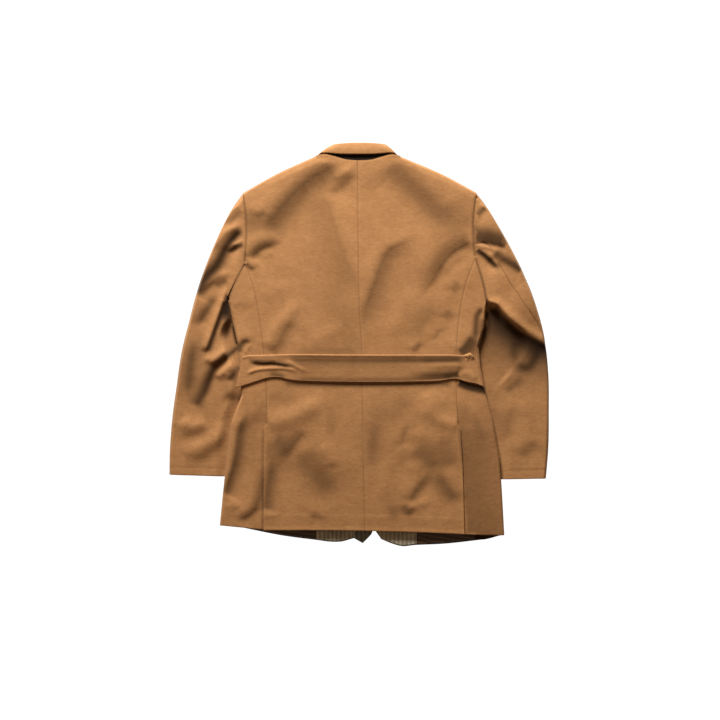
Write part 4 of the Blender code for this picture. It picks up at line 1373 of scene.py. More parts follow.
@dataclass
class BodySide:
    """One half of the body, with the lines that its panels share."""

    outline: Outline
    form: BodyForm
    side_under: float = 46.0
    side_under_at_armpit: float = 14.0
    low_share: float = 0.4

    @property
    def sign(self) -> int:
        """Returns -1 on the left and 1 on the right."""
        return self.outline.sign

    @property
    def armpit(self) -> float:
        """Returns the height of the bottom of the armhole."""
        return self.outline.low_armhole[0][1]

    def seam_rows(self) -> Array:
        """Returns the heights of the rows of points along the side-back seam, from the hem up."""
        hem, top = self.outline.seam[0][1], self.outline.seam[-1][1]
        return hem + (top - hem) * steps(top - hem, FINE_GRID)

    def edge(self, heights: Array) -> Array:
        """Returns the body's edge at the heights given."""
        return np.column_stack([self.form.column(self.outline.edge, heights), heights])

    def reach(self, heights: Array) -> Array:
        """Returns how far the side panel reaches under the body at the heights given."""
        return np.interp(heights, [0, self.armpit], [self.side_under, self.side_under_at_armpit])

    def shifted(self, points: Array, distance: Array | float) -> Array:
        """Moves points away from the middle of the body.

        Args:
            points: The points.
            distance: How far they move.

        Returns:
            The moved points.
        """
        moved = np.array(points, float)
        moved[..., 0] += self.sign * distance
        return moved

    def armhole(self, around: Array) -> Array:
        """Finds points of the armhole.

        Args:
            around: Places along it, from its bottom at 0 to the shoulder at 1.

        Returns:
            The points.
        """
        flat = around.ravel()
        share = self.low_share
        low = through(self.outline.low_armhole, np.clip(flat / share, 0, 1))
        high = through(self.outline.high_armhole, np.clip((flat - share) / (1 - share), 0, 1))
        return np.where((flat < share)[:, None], low, high).reshape(around.shape + (2,))


@dataclass
class Back:
    """The two halves of the back, which lap the side panels at the vents."""

    left: BodySide
    right: BodySide
    vent_lap: float = 5.0
    vent_step: float = 12.0
    level_row: float = -340.0
    hem_band: float = 34.0
    hem_step: float = 3.0
    hem_rise: float = 0.3
    vent_curl: float = 0.9
    vent_curl_width: float = 4.0
    hem_curl: float = 0.9
    hem_curl_width: float = 6.0

    def panel(self, side: BodySide) -> Panel:
        """Works out one half of the back.

        Args:
            side: The half of the body.

        Returns:
            The panel, from the centre seam outward and from the hem up.
        """
        outline = side.outline
        hem, top = outline.seam[0][1], outline.seam[-1][1]
        rows = side.seam_rows()
        vent = smooth(-rows, -VENT_TOP, -VENT_TOP + self.vent_step)
        seam = side.shifted(at_heights(outline.seam, rows), self.vent_lap * vent + SEWN_LAP)
        rise = CENTRE_BACK[-1][1] - top
        shares = steps(rise, FINE_GRID)[1:]
        armhole = side.shifted(through(outline.high_armhole, shares), -SEAM / 2)
        centre_rows = np.interp(rows, [hem, self.level_row], [CENTRE_BACK[0][1], self.level_row])
        centre_rows = np.where(rows < self.level_row, centre_rows, rows)
        centre = at_heights(CENTRE_BACK, np.concatenate([centre_rows, top + rise * shares]))
        inner = side.shifted(centre, -SEWN_LAP)
        outer = np.vstack([seam, armhole])
        crest = np.vstack([soft_line(outline.neck), soft_line(outline.shoulder)[1:]])
        across = steps(run_lengths(crest)[-1], FINE_GRID)
        bottom = through(np.vstack([inner[0], outline.hem[1:-1], outer[0]]), across)
        upper = along(np.vstack([inner[-1], crest[1:-1], outer[-1]]), across)
        plan = patch(bottom, upper, inner, outer, across)
        height = side.form.height(plan[..., 0], plan[..., 1])
        above = plan[..., 1] - bottom[None, :, 1]
        height = height + self.hem_rise * (1 - smooth(above, self.hem_band - self.hem_step, self.hem_band))
        height = height + self.hem_curl * np.exp(-(above / self.hem_curl_width) ** 2)
        folded = np.concatenate([vent, np.zeros(len(armhole))])
        from_edge = np.linalg.norm(plan - outer[:, None], axis=-1)
        curl = self.vent_curl * np.exp(-(from_edge / self.vent_curl_width) ** 2)
        points = with_height(plan, height + curl * folded[:, None])
        # Painted shade from the back's creases.
        shade = side.form.shade(points)
        return Panel(points, lowered(points, WOOL), low=Edge.FOLD, end=folded, shade=shade)

    def build(self, tailor: Tailor) -> None:
        """Sews both halves."""
        tailor.cloth("back_left", self.panel(self.left))
        tailor.cloth("back_right", self.panel(self.right))


@dataclass
class SidePanels:
    """The two side panels, from the armhole to the hem, which turn round the body's edge."""

    left: BodySide
    right: BodySide
    lift: float = 7.2
    flat_share: float = 0.36
    turn_steps: int = 12
    under_steps: int = 9
    vent_underlap: float = 10.0
    vent_dip: float = WOOL + 2 * SEAM
    vent_dip_rise: float = 45.0
    vent_dip_zone: Pair = (0.2, 0.5)
    level_rows: Pair = (-340.0, 62.0)
    top_row: float = 112.0
    armpit_row: float = 16.0
    corner_power: int = 30
    hem_drop_rows: float = 50.0
    shade_heights: Pair = (6.0, 12.0)
    inside_shade: float = 0.92
    width: float = 72.0

    def points(self, side: BodySide, inset: float) -> Array:
        """Works out one face of a side panel.

        Args:
            side: The half of the body.
            inset: How deep the face lies in the cloth.

        Returns:
            Rows from the hem up: over the top, round the edge and back underneath.
        """
        outline = side.outline
        hem, top = outline.seam[0][1], outline.seam[-1][1]
        rows = side.seam_rows()
        marks = [hem, *self.level_rows, self.top_row, top]
        edge_marks = [outline.side_hem, *self.level_rows, side.armpit - self.armpit_row, side.armpit]
        edge = side.edge(np.interp(rows, marks, edge_marks))
        half = 0.5 * (side.form.height(*edge.T) - self.lift)
        turn = half - inset
        vent = smooth(-rows, -VENT_TOP, -VENT_TOP + self.armpit_row)
        inner = side.shifted(at_heights(outline.seam, rows), -SEWN_LAP - self.vent_underlap * vent)
        brim = side.shifted(edge, -half)
        across = steps(self.width, FINE_GRID)
        bottom = inner[0] + (brim[0] - inner[0]) * across[:, None]
        lip = side.shifted(through(outline.low_armhole, 1 - across), -SEAM)
        start = (1 - across[:, None]) ** self.corner_power
        finish = across[:, None] ** self.corner_power
        upper = lip + start * (inner[-1] - lip[0]) + finish * (brim[-1] - lip[-1])
        plan = patch(bottom, upper, inner, brim, across)
        dip = self.vent_dip * smooth(-rows, -VENT_TOP - self.vent_dip_rise, -VENT_TOP)[:, None]
        height = side.form.height(plan[..., 0], plan[..., 1]) - inset
        over = with_height(plan, height - dip * (1 - smooth(across[None, :], *self.vent_dip_zone)))
        bend = np.linspace(0.5 * math.pi, -0.5 * math.pi, self.turn_steps + 1)[None, 1:]
        depth = half[:, None] - turn[:, None] * np.cos(bend)
        drop = over[:, -1:, 2] - turn[:, None] * (1 - np.sin(bend))
        reach = side.reach(edge[:, 1])[:, None]
        part = np.linspace(0, 1, self.under_steps + 1)[None, 1:]
        inward = half[:, None] + (reach - half[:, None]) * part
        rise = self.lift * (1 - smooth(inward / reach, self.flat_share, 1.0))
        depths = np.concatenate([depth, inward], axis=1)
        heights = np.concatenate([drop, inset + rise], axis=1)
        place = np.repeat(edge[:, None], depths.shape[1], axis=1)
        near_hem = 1 - smooth(rows - hem, 0, self.hem_drop_rows)[:, None]
        place[..., 1] -= outline.hem_drop * near_hem * smooth(depths / reach)
        around = with_height(side.shifted(place, -depths), heights)
        return np.concatenate([over, around], axis=1)

    def build(self, tailor: Tailor) -> None:
        """Sews both side panels.

        Args:
            tailor: What makes the pieces.
        """
        for label, side in (("left", self.left), ("right", self.right)):
            outer = self.points(side, 0.0)
            # Painted shade from the creases, on the upper face only.
            shade = side.form.shade(outer) * smooth(outer[..., 2], *self.shade_heights)
            panel = Panel(outer, self.points(side, WOOL), low=Edge.FOLD, shade=shade,
                          inside_shade=self.inside_shade)
            tailor.cloth(f"side_{label}", panel)


# The collar

@dataclass(frozen=True)
class FallRow(Row):
    """One row of the fall: roll line, free edge, and how the cloth faces (1 up, 0 outward, -1 down)."""

    roll_x: float
    roll_y: float
    roll_z: float
    edge_x: float
    edge_y: float
    edge_z: float
    facing: float

    ROLL = slice(0, 3)
    EDGE = slice(3, 6)
    EDGE_PLAN = slice(3, 5)
    HEIGHTS = [2, 5]
    FACING = 6


@dataclass(frozen=True)
class StandRow(Row):
    """One row of the stand: a point of the neck seam and a point under the fall."""

    neck_x: float
    neck_y: float
    top_x: float
    top_y: float
    top_z: float

    NECK = slice(0, 2)
    TOP = slice(2, 5)


COLLAR_FALL = (
    FallRow(-8, 322, 0.0, -58, 304, 0.0, -1.0),
    FallRow(-30, 368, 0.0, -82, 348, 0.0, -1.0),
    FallRow(-46, 402, 0.0, -86, 384, 0.0, -1.0),
    FallRow(-52, 411.5, 6.0, -82, 393, 9.0, 0.0),
    FallRow(-44, 413, 14.5, -72, 394.5, 17.0, 0.9),
    FallRow(-22, 414.5, 16.5, -38, 391.5, 19.4, 1.0),
    FallRow(2, 415, 16.8, -2, 391, 19.8, 1.0),
    FallRow(26, 414.5, 16.5, 34, 391.5, 19.4, 1.0),
    FallRow(47, 413, 14.5, 66, 394.5, 17.0, 0.9),
    FallRow(55, 411.5, 6.0, 77, 393, 9.0, 0.0),
    FallRow(48, 402, 0.0, 80, 384, 0.0, -1.0),
    FallRow(32, 368, 0.0, 77, 348, 0.0, -1.0),
    FallRow(12, 322, 0.0, 54, 304, 0.0, -1.0),
)
COLLAR_STAND = (
    StandRow(-78, 391.0, -62, 396, 9.6),
    StandRow(-58, 389.0, -47, 408, 11.0),
    StandRow(-30, 381.6, -24, 412.4, 12.3),
    StandRow(-3, 378.6, 1, 413, 12.8),
    StandRow(24, 380.2, 25, 412.4, 12.3),
    StandRow(52, 387.8, 49, 408, 11.2),
    StandRow(73, 390.6, 58, 396, 9.6),
)


@dataclass
class Collar:
    """The collar: the fall, folded over from one point round the neck to the other, and the felt stand."""

    form: BodyForm
    length: float = 380.0
    depth: float = 36.0
    wall: float = 3.4
    crown: float = 1.4
    crown_zone: Pair = (-0.5, 0.5)
    neck_centre: Point = (0.0, 390.0)
    stand_length: float = 170.0
    stand_depth: float = 30.0
    stand_tuck: Pair = (2.5, WOOL + SEAM)
    neck_setback: float = 2.0

    def fall(self) -> Panel:
        """Works out the fall, which is folded all round.

        Returns:
            The panel, from the roll line to the free edge.
        """
        table = spread(COLLAR_FALL, steps(self.length, FINE_GRID))
        table[:, FallRow.HEIGHTS] = np.maximum(table[:, FallRow.HEIGHTS], 0)
        share = steps(self.depth, HALF_GRID)[None, :, None]
        roll = table[:, None, FallRow.ROLL]
        edge = table[:, None, FallRow.EDGE]
        outer = roll + (edge - roll) * share
        facing = np.clip(table[:, FallRow.FACING], -1, 1)
        run = edge[:, 0] - roll[:, 0]
        aside = np.column_stack([-run[:, 1], run[:, 0]])
        aside /= np.linalg.norm(aside, axis=1)[:, None]
        towards = np.array(self.neck_centre) - roll[:, 0, 0:2]
        aside *= np.sign((aside * towards).sum(axis=1))[:, None]
        level = np.sqrt(1 - facing ** 2)
        inward = np.column_stack([aside * level[:, None], -facing])[:, None]
        crown = self.crown * np.sin(math.pi * share) * smooth(facing, *self.crown_zone)[:, None, None]
        outer = outer - crown * inward
        return Panel(outer, outer + self.wall * inward, *[Edge.FOLD] * 4)

    def stand(self) -> Panel:
        """Works out the stand.

        Returns:
            The panel, from the neck seam to under the fall.
        """
        table = spread(COLLAR_STAND, steps(self.stand_length, FINE_GRID))
        seam = table[:, StandRow.NECK]
        seat = self.form.height(seam[:, 0], seam[:, 1] - self.neck_setback)
        tuck, sink = self.stand_tuck
        neck = with_height(seam - np.array([0, tuck]), seat - sink)
        share = steps(self.stand_depth, FINE_GRID)[None, :, None]
        points = neck[:, None] + (table[:, StandRow.TOP] - neck)[:, None] * share
        return Panel(points, lowered(points, FELT))

    def build(self, tailor: Tailor) -> None:
        """Sews the fall and the stand."""
        tailor.cloth("collar_fall", self.fall())
        tailor.cloth("collar_stand", self.stand(), FELT_FINISH)


# The fronts

@dataclass(frozen=True)
class Strip:
    """A strip on the inside of a front, between two places across its hem."""

    node: str
    inner: float
    outer: float
    finish: Finish


@dataclass
class Fronts:
    """The two fronts, buttoned under the back, with facing, lining and a tab where they show at the hem."""

    left: BodySide
    right: BodySide
    seam_rows: tuple[float, ...] = (-340, -290, -235, -190, -105, -62, -22, 20, 62)
    columns: int = 9
    leaf_columns: int = 4
    leaf_share: float = 1 / 6
    leaf_gap: float = 2 * SEAM
    throat_drop: float = 3.0
    armhole_rows: int = 10
    button_lift: float = 3.9
    overlap_lift: float = WOOL + 3 * SEAM
    placket_left: Pair = (-118, -66)
    placket_right: Pair = (66, 122)
    placket_end: Pair = (-235, -160)
    placket_top: Pair = (252, 300)
    overlap_end: Pair = (-385, -322)
    overlap_top: Pair = (314, 345)
    calm_hem: Pair = (-385, -330)
    strip_inset: float = 2.2
    inside_dark: float = 0.92
    strip_reach: float = 110.0
    lean_share: float = 0.3
    tab_edge: tuple[Point, ...] = ((8, -408.5), (28, -384.5), (19, -360), (10, -345))
    tab_height: float = 58.0
    tab_width: float = 14.4
    tab_rows: int = 3
    tab_gap: float = 2 * SEAM
    strips: tuple[tuple[int, Strip], ...] = (
        (-1, Strip("facing_left", 0.006, 0.34, TWEED_FINISH)),
        (-1, Strip("lining_left", 0.345, 0.93, LINING_FINISH)),
        (1, Strip("facing_right", 0.006, 0.36, TWEED_FINISH)),
        (1, Strip("lining_right", 0.365, 0.93, LINING_FINISH)),
    )

    def lift(self, side: BodySide, x: Array, y: Array) -> Array:
        """Works out how far a front is raised by the buttons, the other front and its own creases.

        Args:
            side: The half of the body.
            x: Places across.
            y: Places up.

        Returns:
            The height of the front's lower face.
        """
        creases = crease_heights(FRONT_CREASES, x, y) * smooth(y, *self.calm_hem)
        placket = self.button_lift * smooth(y, *self.placket_end) * (1 - smooth(y, *self.placket_top))
        if side.sign < 0:
            return placket * smooth(x, *self.placket_left) + creases * (1 - smooth(x, *self.placket_left))
        overlap = self.overlap_lift * smooth(y, *self.overlap_end) * (1 - smooth(y, *self.overlap_top))
        away = smooth(x, *self.placket_right)
        return (placket + overlap) * (1 - away) + creases * away

    def plan(self, side: BodySide) -> Array:
        """Lays out a front as seen from above.

        Args:
            side: The half of the body.

        Returns:
            Rows from the hem to the shoulder, each from the front edge to the side seam.
        """
        front, hem = side.outline.front, side.outline.front_hem
        leaf_shares = np.linspace(0, self.leaf_share, self.leaf_columns + 1)
        leaf = spread(COLLAR_FALL[::-side.sign], leaf_shares)[:, FallRow.EDGE_PLAN]
        leaf = leaf + np.array([side.sign, -1.0]) * self.leaf_gap
        rows = np.array([hem[-1][1], *(row for row in self.seam_rows if row < side.armpit)], float)
        seam = side.shifted(side.edge(rows), -side.reach(rows) - SEAM)
        around = np.linspace(0, 1, self.armhole_rows + 1)[1:]
        outer = np.vstack([seam, side.shifted(side.armhole(around), -SEAM)])
        bottom = through(np.vstack([hem[:-1], seam[0]]), np.linspace(0, 1, self.columns + 1))
        throat = np.array([front[-1][0], leaf[0, 1] - self.throat_drop])
        shoulder = np.linspace(leaf[-1], outer[-1], self.columns - self.leaf_columns)
        top = np.vstack([throat, leaf, shoulder[1:]])
        inner = through(np.vstack([front[:-1], throat]), np.linspace(0, 1, len(outer)))
        return patch(bottom, top, inner, outer, np.linspace(0, 1, self.columns + 1))

    def panel(self, side: BodySide) -> Panel:
        """Works out a front.

        Args:
            side: The half of the body.

        Returns:
            The panel, on a fine grid.
        """
        coarse = self.plan(side)
        height = run_lengths(coarse[:, 0])[-1]
        width = run_lengths(coarse[0])[-1]
        plan = refined(coarse, steps(height, HIDDEN_GRID), steps(width, HIDDEN_GRID))
        points = with_height(plan, self.lift(side, plan[..., 0], plan[..., 1]))
        return Panel(lowered(points, -WOOL), points, low=Edge.FOLD, start=Edge.FOLD, shade=self.inside_dark)

    def strip_panel(self, side: BodySide, strip: Strip) -> Panel:
        """Works out a strip along the hem.

        Args:
            side: The half of the body.
            strip: The facing or lining.

        Returns:
            The panel.
        """
        coarse = self.plan(side)
        width = run_lengths(coarse[0])[-1] * (strip.outer - strip.inner)
        shares = strip.inner + (strip.outer - strip.inner) * steps(width, FINE_GRID)
        hem = curve_at(coarse[0], shares * (coarse.shape[1] - 1))
        reach = self.strip_inset + self.strip_reach * steps(self.strip_reach, FINE_GRID)
        plan = hem[None] + reach[:, None, None] * np.array([0.0, 1.0])
        front = coarse[:, 0]
        lean = np.interp(front[0, 1] + reach, front[:, 1], front[:, 0]) - front[0, 0]
        plan[..., 0] += lean[:, None] * (1 - smooth(shares, 0.0, self.lean_share))
        points = with_height(plan, self.lift(side, plan[..., 0], plan[..., 1]) + WOOL + SEAM)
        return Panel(lowered(points, -FACING), points, low=Edge.FOLD, fold_radius=FACING)

    def tab(self) -> Panel:
        """Works out the square-cornered tab between the fronts.

        Returns:
            The panel.
        """
        left_edge = self.plan(self.left)[:self.tab_rows, 0] + np.array([self.tab_gap, 0.0])
        rows = steps(self.tab_height, FINE_GRID)
        left_side = along(left_edge, rows)
        right_side = through(self.tab_edge, rows)
        share = steps(self.tab_width, HALF_GRID)[None, :, None]
        plan = (1 - share) * left_side[:, None] + share * right_side[:, None]
        points = with_height(plan, 0.0)
        return Panel(lowered(points, -FACING), points, Edge.FOLD, Edge.CUT, Edge.CUT, Edge.FOLD)

    def build(self, tailor: Tailor) -> None:
        """Sews the fronts, their strips and the tab.

        Args:
            tailor: What makes the pieces.
        """
        sides = {-1: self.left, 1: self.right}
        tailor.cloth("front_left", self.panel(self.left))
        tailor.cloth("front_right", self.panel(self.right))
        for sign, strip in self.strips:
            tailor.cloth(strip.node, self.strip_panel(sides[sign], strip), strip.finish)
        # The tab wears the tweed darkened as painted shade.
        tailor.cloth("front_tab", self.tab(), SHADED_TAB_FINISH)


# The sleeves

@dataclass(frozen=True)
class SleeveRow(Row):
    """One section of a sleeve: its outer edge, its inner edge and the height of its crown.

    From the inner edge, the upper layer stays low over the width tuck and swells over the width rise. The
    inner edge lies as high as lift.
    """

    outer_x: float
    outer_y: float
    inner_x: float
    inner_y: float
    crown: float
    tuck: float
    rise: float
    lift: float

    OUTER = slice(0, 2)
    INNER = slice(2, 4)
    SWELL = slice(4, 7)
    LIFT = 7


SLEEVE_LEFT = (
    SleeveRow(-239, 312, -241, 143, 18.0, 0, 10, 2.7),
    SleeveRow(-262, 278, -250, 127, 19.0, 0, 10, 2.7),
    SleeveRow(-290, 223, -258, 108, 20.0, 0, 11, 2.7),
    SleeveRow(-318, 155, -262, 86, 20.0, 2, 12, 2.7),
    SleeveRow(-336, 100, -252, 46, 20.0, 8, 14, 0.5),
    SleeveRow(-349, 50, -239, -6, 18.0, 34, 22, 0.0),
    SleeveRow(-365, -15, -233, -62, 17.0, 13, 18, 0.0),
    SleeveRow(-376, -90, -231, -112, 14.0, 13, 24, 0.0),
    SleeveRow(-384, -150, -249, -160, 12.5, 13, 24, 0.0),
    SleeveRow(-389, -215, -257, -220, 12.0, 13, 24, 0.0),
    SleeveRow(-390, -267, -264, -271, 11.5, 13, 20, 0.0),
)
SLEEVE_RIGHT = (
    SleeveRow(242, 313, 243, 150, 18.0, 0, 10, 2.7),
    SleeveRow(265, 281, 249, 134, 19.0, 0, 10, 2.7),
    SleeveRow(297, 228, 254, 110, 20.0, 0, 11, 2.7),
    SleeveRow(323, 180, 257, 82, 21.0, 2, 12, 2.7),
    SleeveRow(341, 142, 250, 42, 20.0, 34, 22, 0.5),
    SleeveRow(361, 92, 236, -6, 20.0, 72, 26, 0.0),
    SleeveRow(381, 20, 240, -62, 8.4, 104, 28, 0.0),
    SleeveRow(390, -60, 250, -112, 7.0, 13, 24, 0.0),
    SleeveRow(391, -140, 264, -160, 8.2, 13, 24, 0.0),
    SleeveRow(390, -210, 275, -218, 10.0, 13, 24, 0.0),
    SleeveRow(385, -275, 279, -277, 10.0, 13, 20, 0.0),
)
LEFT_OUTER_SEAM = ((0.0, 1.08), (1.0, 1.08))
RIGHT_OUTER_SEAM = (
    (0.0, 0.36), (0.08, 0.48), (0.14, 0.545), (0.25, 0.57), (0.355, 0.62),
    (0.48, 0.73), (0.54, 0.81), (0.59, 0.905), (0.66, 1.08), (1.0, 1.08),
)


@dataclass
class Sleeve:
    """A sleeve flattened on the surface, in two pieces.

    Round it, 0 is its inner edge, 1 its outer edge and 2 the inner edge again. Its outer seam is given by
    where it runs round the sleeve, along the sleeve.
    """

    side: BodySide
    label: str
    table: Sequence[SleeveRow]
    creases: Sequence[Crease]
    outer_seam: Sequence[Point]
    upper: str
    lower: str
    edge: float = 6.4
    outer_rise: float = 6.0
    armhole_start: float = 0.27
    armhole_blend: float = 0.1
    inner_seam: float = 1.84
    seam_gap: float = 0.003
    seam_gap_on_top: float = 0.0003
    inner_shift: float = 0.5
    lift_reach: float = 16.0
    least_height: float = 5.6
    upper_girth: float = 270.0
    lower_girth: float = 216.0
    once_round: float = 2.0

    def rows(self) -> Array:
        """Spaces the rows of points along the sleeve.

        Returns:
            Places along the sleeve, evenly spaced by length.
        """
        fine = np.linspace(0, 1, CURVE_STEPS * len(self.table))
        cuts = spread(self.table, fine)
        length = run_lengths(0.5 * (cuts[:, SleeveRow.OUTER] + cuts[:, SleeveRow.INNER]))
        return np.interp(steps(length[-1], FINE_GRID) * length[-1], length, fine)

    def grid(self, rows: Array, around: Array, wall: float) -> Array:
        """Works out points of the sleeve.

        Args:
            rows: Places along the sleeve.
            around: Places round it, for each row.
            wall: How deep the points lie in the cloth.

        Returns:
            A grid of points.
        """
        table = numbers(self.table)
        places = rows * (len(table) - 1)
        cuts = curve_at(table, places)[:, None]
        folded = np.abs(np.where(around > 1, self.once_round - around, around))
        across = 0.5 - 0.5 * np.cos(math.pi * folded)
        outer, inner = cuts[..., SleeveRow.OUTER], cuts[..., SleeveRow.INNER]
        shoulder, armpit = table[0, SleeveRow.OUTER], table[0, SleeveRow.INNER]
        first = armpit + (shoulder - armpit) * across[..., None]
        weight = curve_at(np.eye(len(table))[:, :1], places)[:, :, None]
        armhole = self.side.armhole(self.armhole_start + (1 - self.armhole_start) * folded)
        bend = self.side.shifted(armhole, SEAM) - first
        plan = inner + (outer - inner) * across[..., None] + weight * bend
        span = outer - inner
        width = np.linalg.norm(span, axis=-1)
        height = self.top_height(rows[:, None], plan, across, width, cuts)
        lift = cuts[..., SleeveRow.LIFT] * (1 - smooth(across * width, 0, self.lift_reach))
        half = 0.5 * self.edge
        gap = np.minimum(across, 1 - across) * width
        swing = np.sqrt(1 - (1 - np.clip(gap / half, 0, 1)) ** 2)
        rim = half + lift
        top = rim + (np.maximum(height, self.edge + lift) - wall - rim) * swing
        bottom = rim - (half - wall) * swing
        inward = (1 - 2 * across)[..., None] * span / width[..., None]
        plan = plan + inward * wall * (1 - swing[..., None] * self.inner_shift)
        under = (around > 1) | (around < 0)
        return with_height(plan, np.where(under, bottom, top))

    def top_height(self, rows: Array, plan: Array, across: Array, width: Array, cuts: Array) -> Array:
        """Works out the height of the upper layer.

        Args:
            rows: Places along the sleeve.
            plan: The points as seen from above.
            across: Shares of the way from the inner to the outer edge.
            width: The sleeve's width at each row.
            cuts: The table's columns at each row.

        Returns:
            The height at each point.
        """
        crown, tuck, rise = np.moveaxis(cuts[..., SleeveRow.SWELL], -1, 0)
        eased = smooth((across * width - tuck) / rise)
        swell = eased * smooth((1 - across) * width, 0, self.outer_rise)
        height = self.edge + (crown - self.edge) * swell
        height = height + swell * crease_heights(self.creases, plan[..., 0], plan[..., 1])
        height = np.maximum(height, self.least_height)
        away = smooth(rows, 0.0, self.armhole_blend)
        return self.side.form.height(plan[..., 0], plan[..., 1]) * (1 - away) + height * away

    def panel(self, rows: Array, start: Array, end: Array, girth: float) -> Panel:
        """Works out one piece between two seams.

        Args:
            rows: Places along the sleeve.
            start: Where its first seam runs round the sleeve, at each row.
            end: Where its other seam runs.
            girth: About how wide it is.

        Returns:
            The panel.
        """
        shares = np.linspace(0, 1, round(girth / FINE_GRID) + 1)
        around = start[:, None] + (end - start)[:, None] * shares[None]
        outer = self.grid(rows, around, 0.0)
        # Painted shade from the creases and armhole lines, on the upper layer only.
        shade = crease_shades((*self.creases, *ARMHOLE_LINES), outer[..., 0], outer[..., 1])
        shade = np.where((around < 0) | (around > 1), 0, shade)
        return Panel(outer, self.grid(rows, around, WOOL), high=Edge.FOLD, shade=shade)

    def build(self, tailor: Tailor) -> None:
        """Sews the upper and the lower piece.

        Args:
            tailor: What makes the pieces.
        """
        rows = self.rows()
        inner = np.full_like(rows, self.inner_seam)
        outer = np.interp(rows, *np.transpose(self.outer_seam))
        gap = np.where(outer < 1, self.seam_gap_on_top, self.seam_gap)
        upper = self.panel(rows, inner + self.seam_gap - self.once_round, outer - gap, self.upper_girth)
        lower = self.panel(rows, outer + gap, inner - self.seam_gap, self.lower_girth)
        tailor.cloth(f"{self.upper}_sleeve_{self.label}", upper)
        tailor.cloth(f"{self.lower}_sleeve_{self.label}", lower)


# The belt and the stitches

@dataclass(frozen=True)
class BeltRow(Row):
    """One section of the belt: its top edge, its lower edge and how far each stands off the back."""

    top_x: float
    top_y: float
    bottom_x: float
    bottom_y: float
    lift_top: float
    lift_bottom: float


BELT = (
    BeltRow(-238, -24, -252, -88, 0.4, 0.4),
    BeltRow(-226, -21.5, -234, -83, 0.8, 0.4),
    BeltRow(-206, -20.5, -210, -75, 1.2, 0.2),
    BeltRow(-186, -20, -187, -68, 1.8, 0.1),
    BeltRow(-165, -19.5, -164, -67, 3.0, 0.2),
    BeltRow(-120, -19, -120, -74, 4.0, 0.3),
    BeltRow(8, -20, 8, -77, 4.2, 0.4),
    BeltRow(148, -20, 148, -75, 4.0, 0.3),
    BeltRow(192, -20, 196, -70, 2.6, 0.1),
    BeltRow(214, -21, 220, -76, 1.4, 0.8),
    BeltRow(228, -16.5, 240, -80, 2.4, 1.2),
    BeltRow(238, -27, 254, -85, 0.8, 0.6),
)


@dataclass
class Stitches:
    """A row of stitches: short rounded threads laid along a line."""

    pitch: float = 3.4
    length: float = 2.5
    radius: float = 0.42
    sides: int = 6
    stations: tuple[Pair, ...] = (
        (-1.0, 0.35), (-0.8, 0.85), (-0.35, 1.0), (0.35, 1.0), (0.8, 0.85), (1.0, 0.35),
    )

    def shape(self, line: Array) -> Shape:
        """Lays stitches along a line.

        Args:
            line: Points on the cloth.

        Returns:
            One shape of all the stitches.
        """
        total = run_lengths(line)[-1]
        count = max(1, int(total / self.pitch))
        middle = (np.arange(count) + 0.5) / count
        half = 0.5 * self.length / total
        centre = along(line, middle)
        run = along(line, np.clip(middle + half, 0, 1)) - along(line, np.clip(middle - half, 0, 1))
        run /= np.linalg.norm(run, axis=1)[:, None]
        aside = np.cross(run, np.array([0.0, 0.0, 1.0]))
        aside /= np.linalg.norm(aside, axis=1)[:, None]
        up = np.cross(aside, run)
        angles = np.linspace(0, math.tau, self.sides, endpoint=False)
        circle = np.cos(angles)[None, :, None] * aside[:, None] + np.sin(angles)[None, :, None] * up[:, None]
        rings = [centre[:, None] + run[:, None] * (place * 0.5 * self.length) + circle * (width * self.radius)
                 for place, width in self.stations]
        points = np.stack(rings, axis=1)
        each = len(self.stations) * self.sides
        index = np.arange(each).reshape(len(self.stations), self.sides)
        tube = grid_quads(np.column_stack([index, index[:, :1]]))[:, ::-1]
        caps = [index[0].tolist(), index[-1, ::-1].tolist()]
        faces: list[list[int]] = []
        for number in range(count):
            faces.extend((tube + number * each).tolist())
            faces.extend([[corner + number * each for corner in cap] for cap in caps])
        return Shape(points.reshape(-1, 3), faces, np.zeros(count * each))


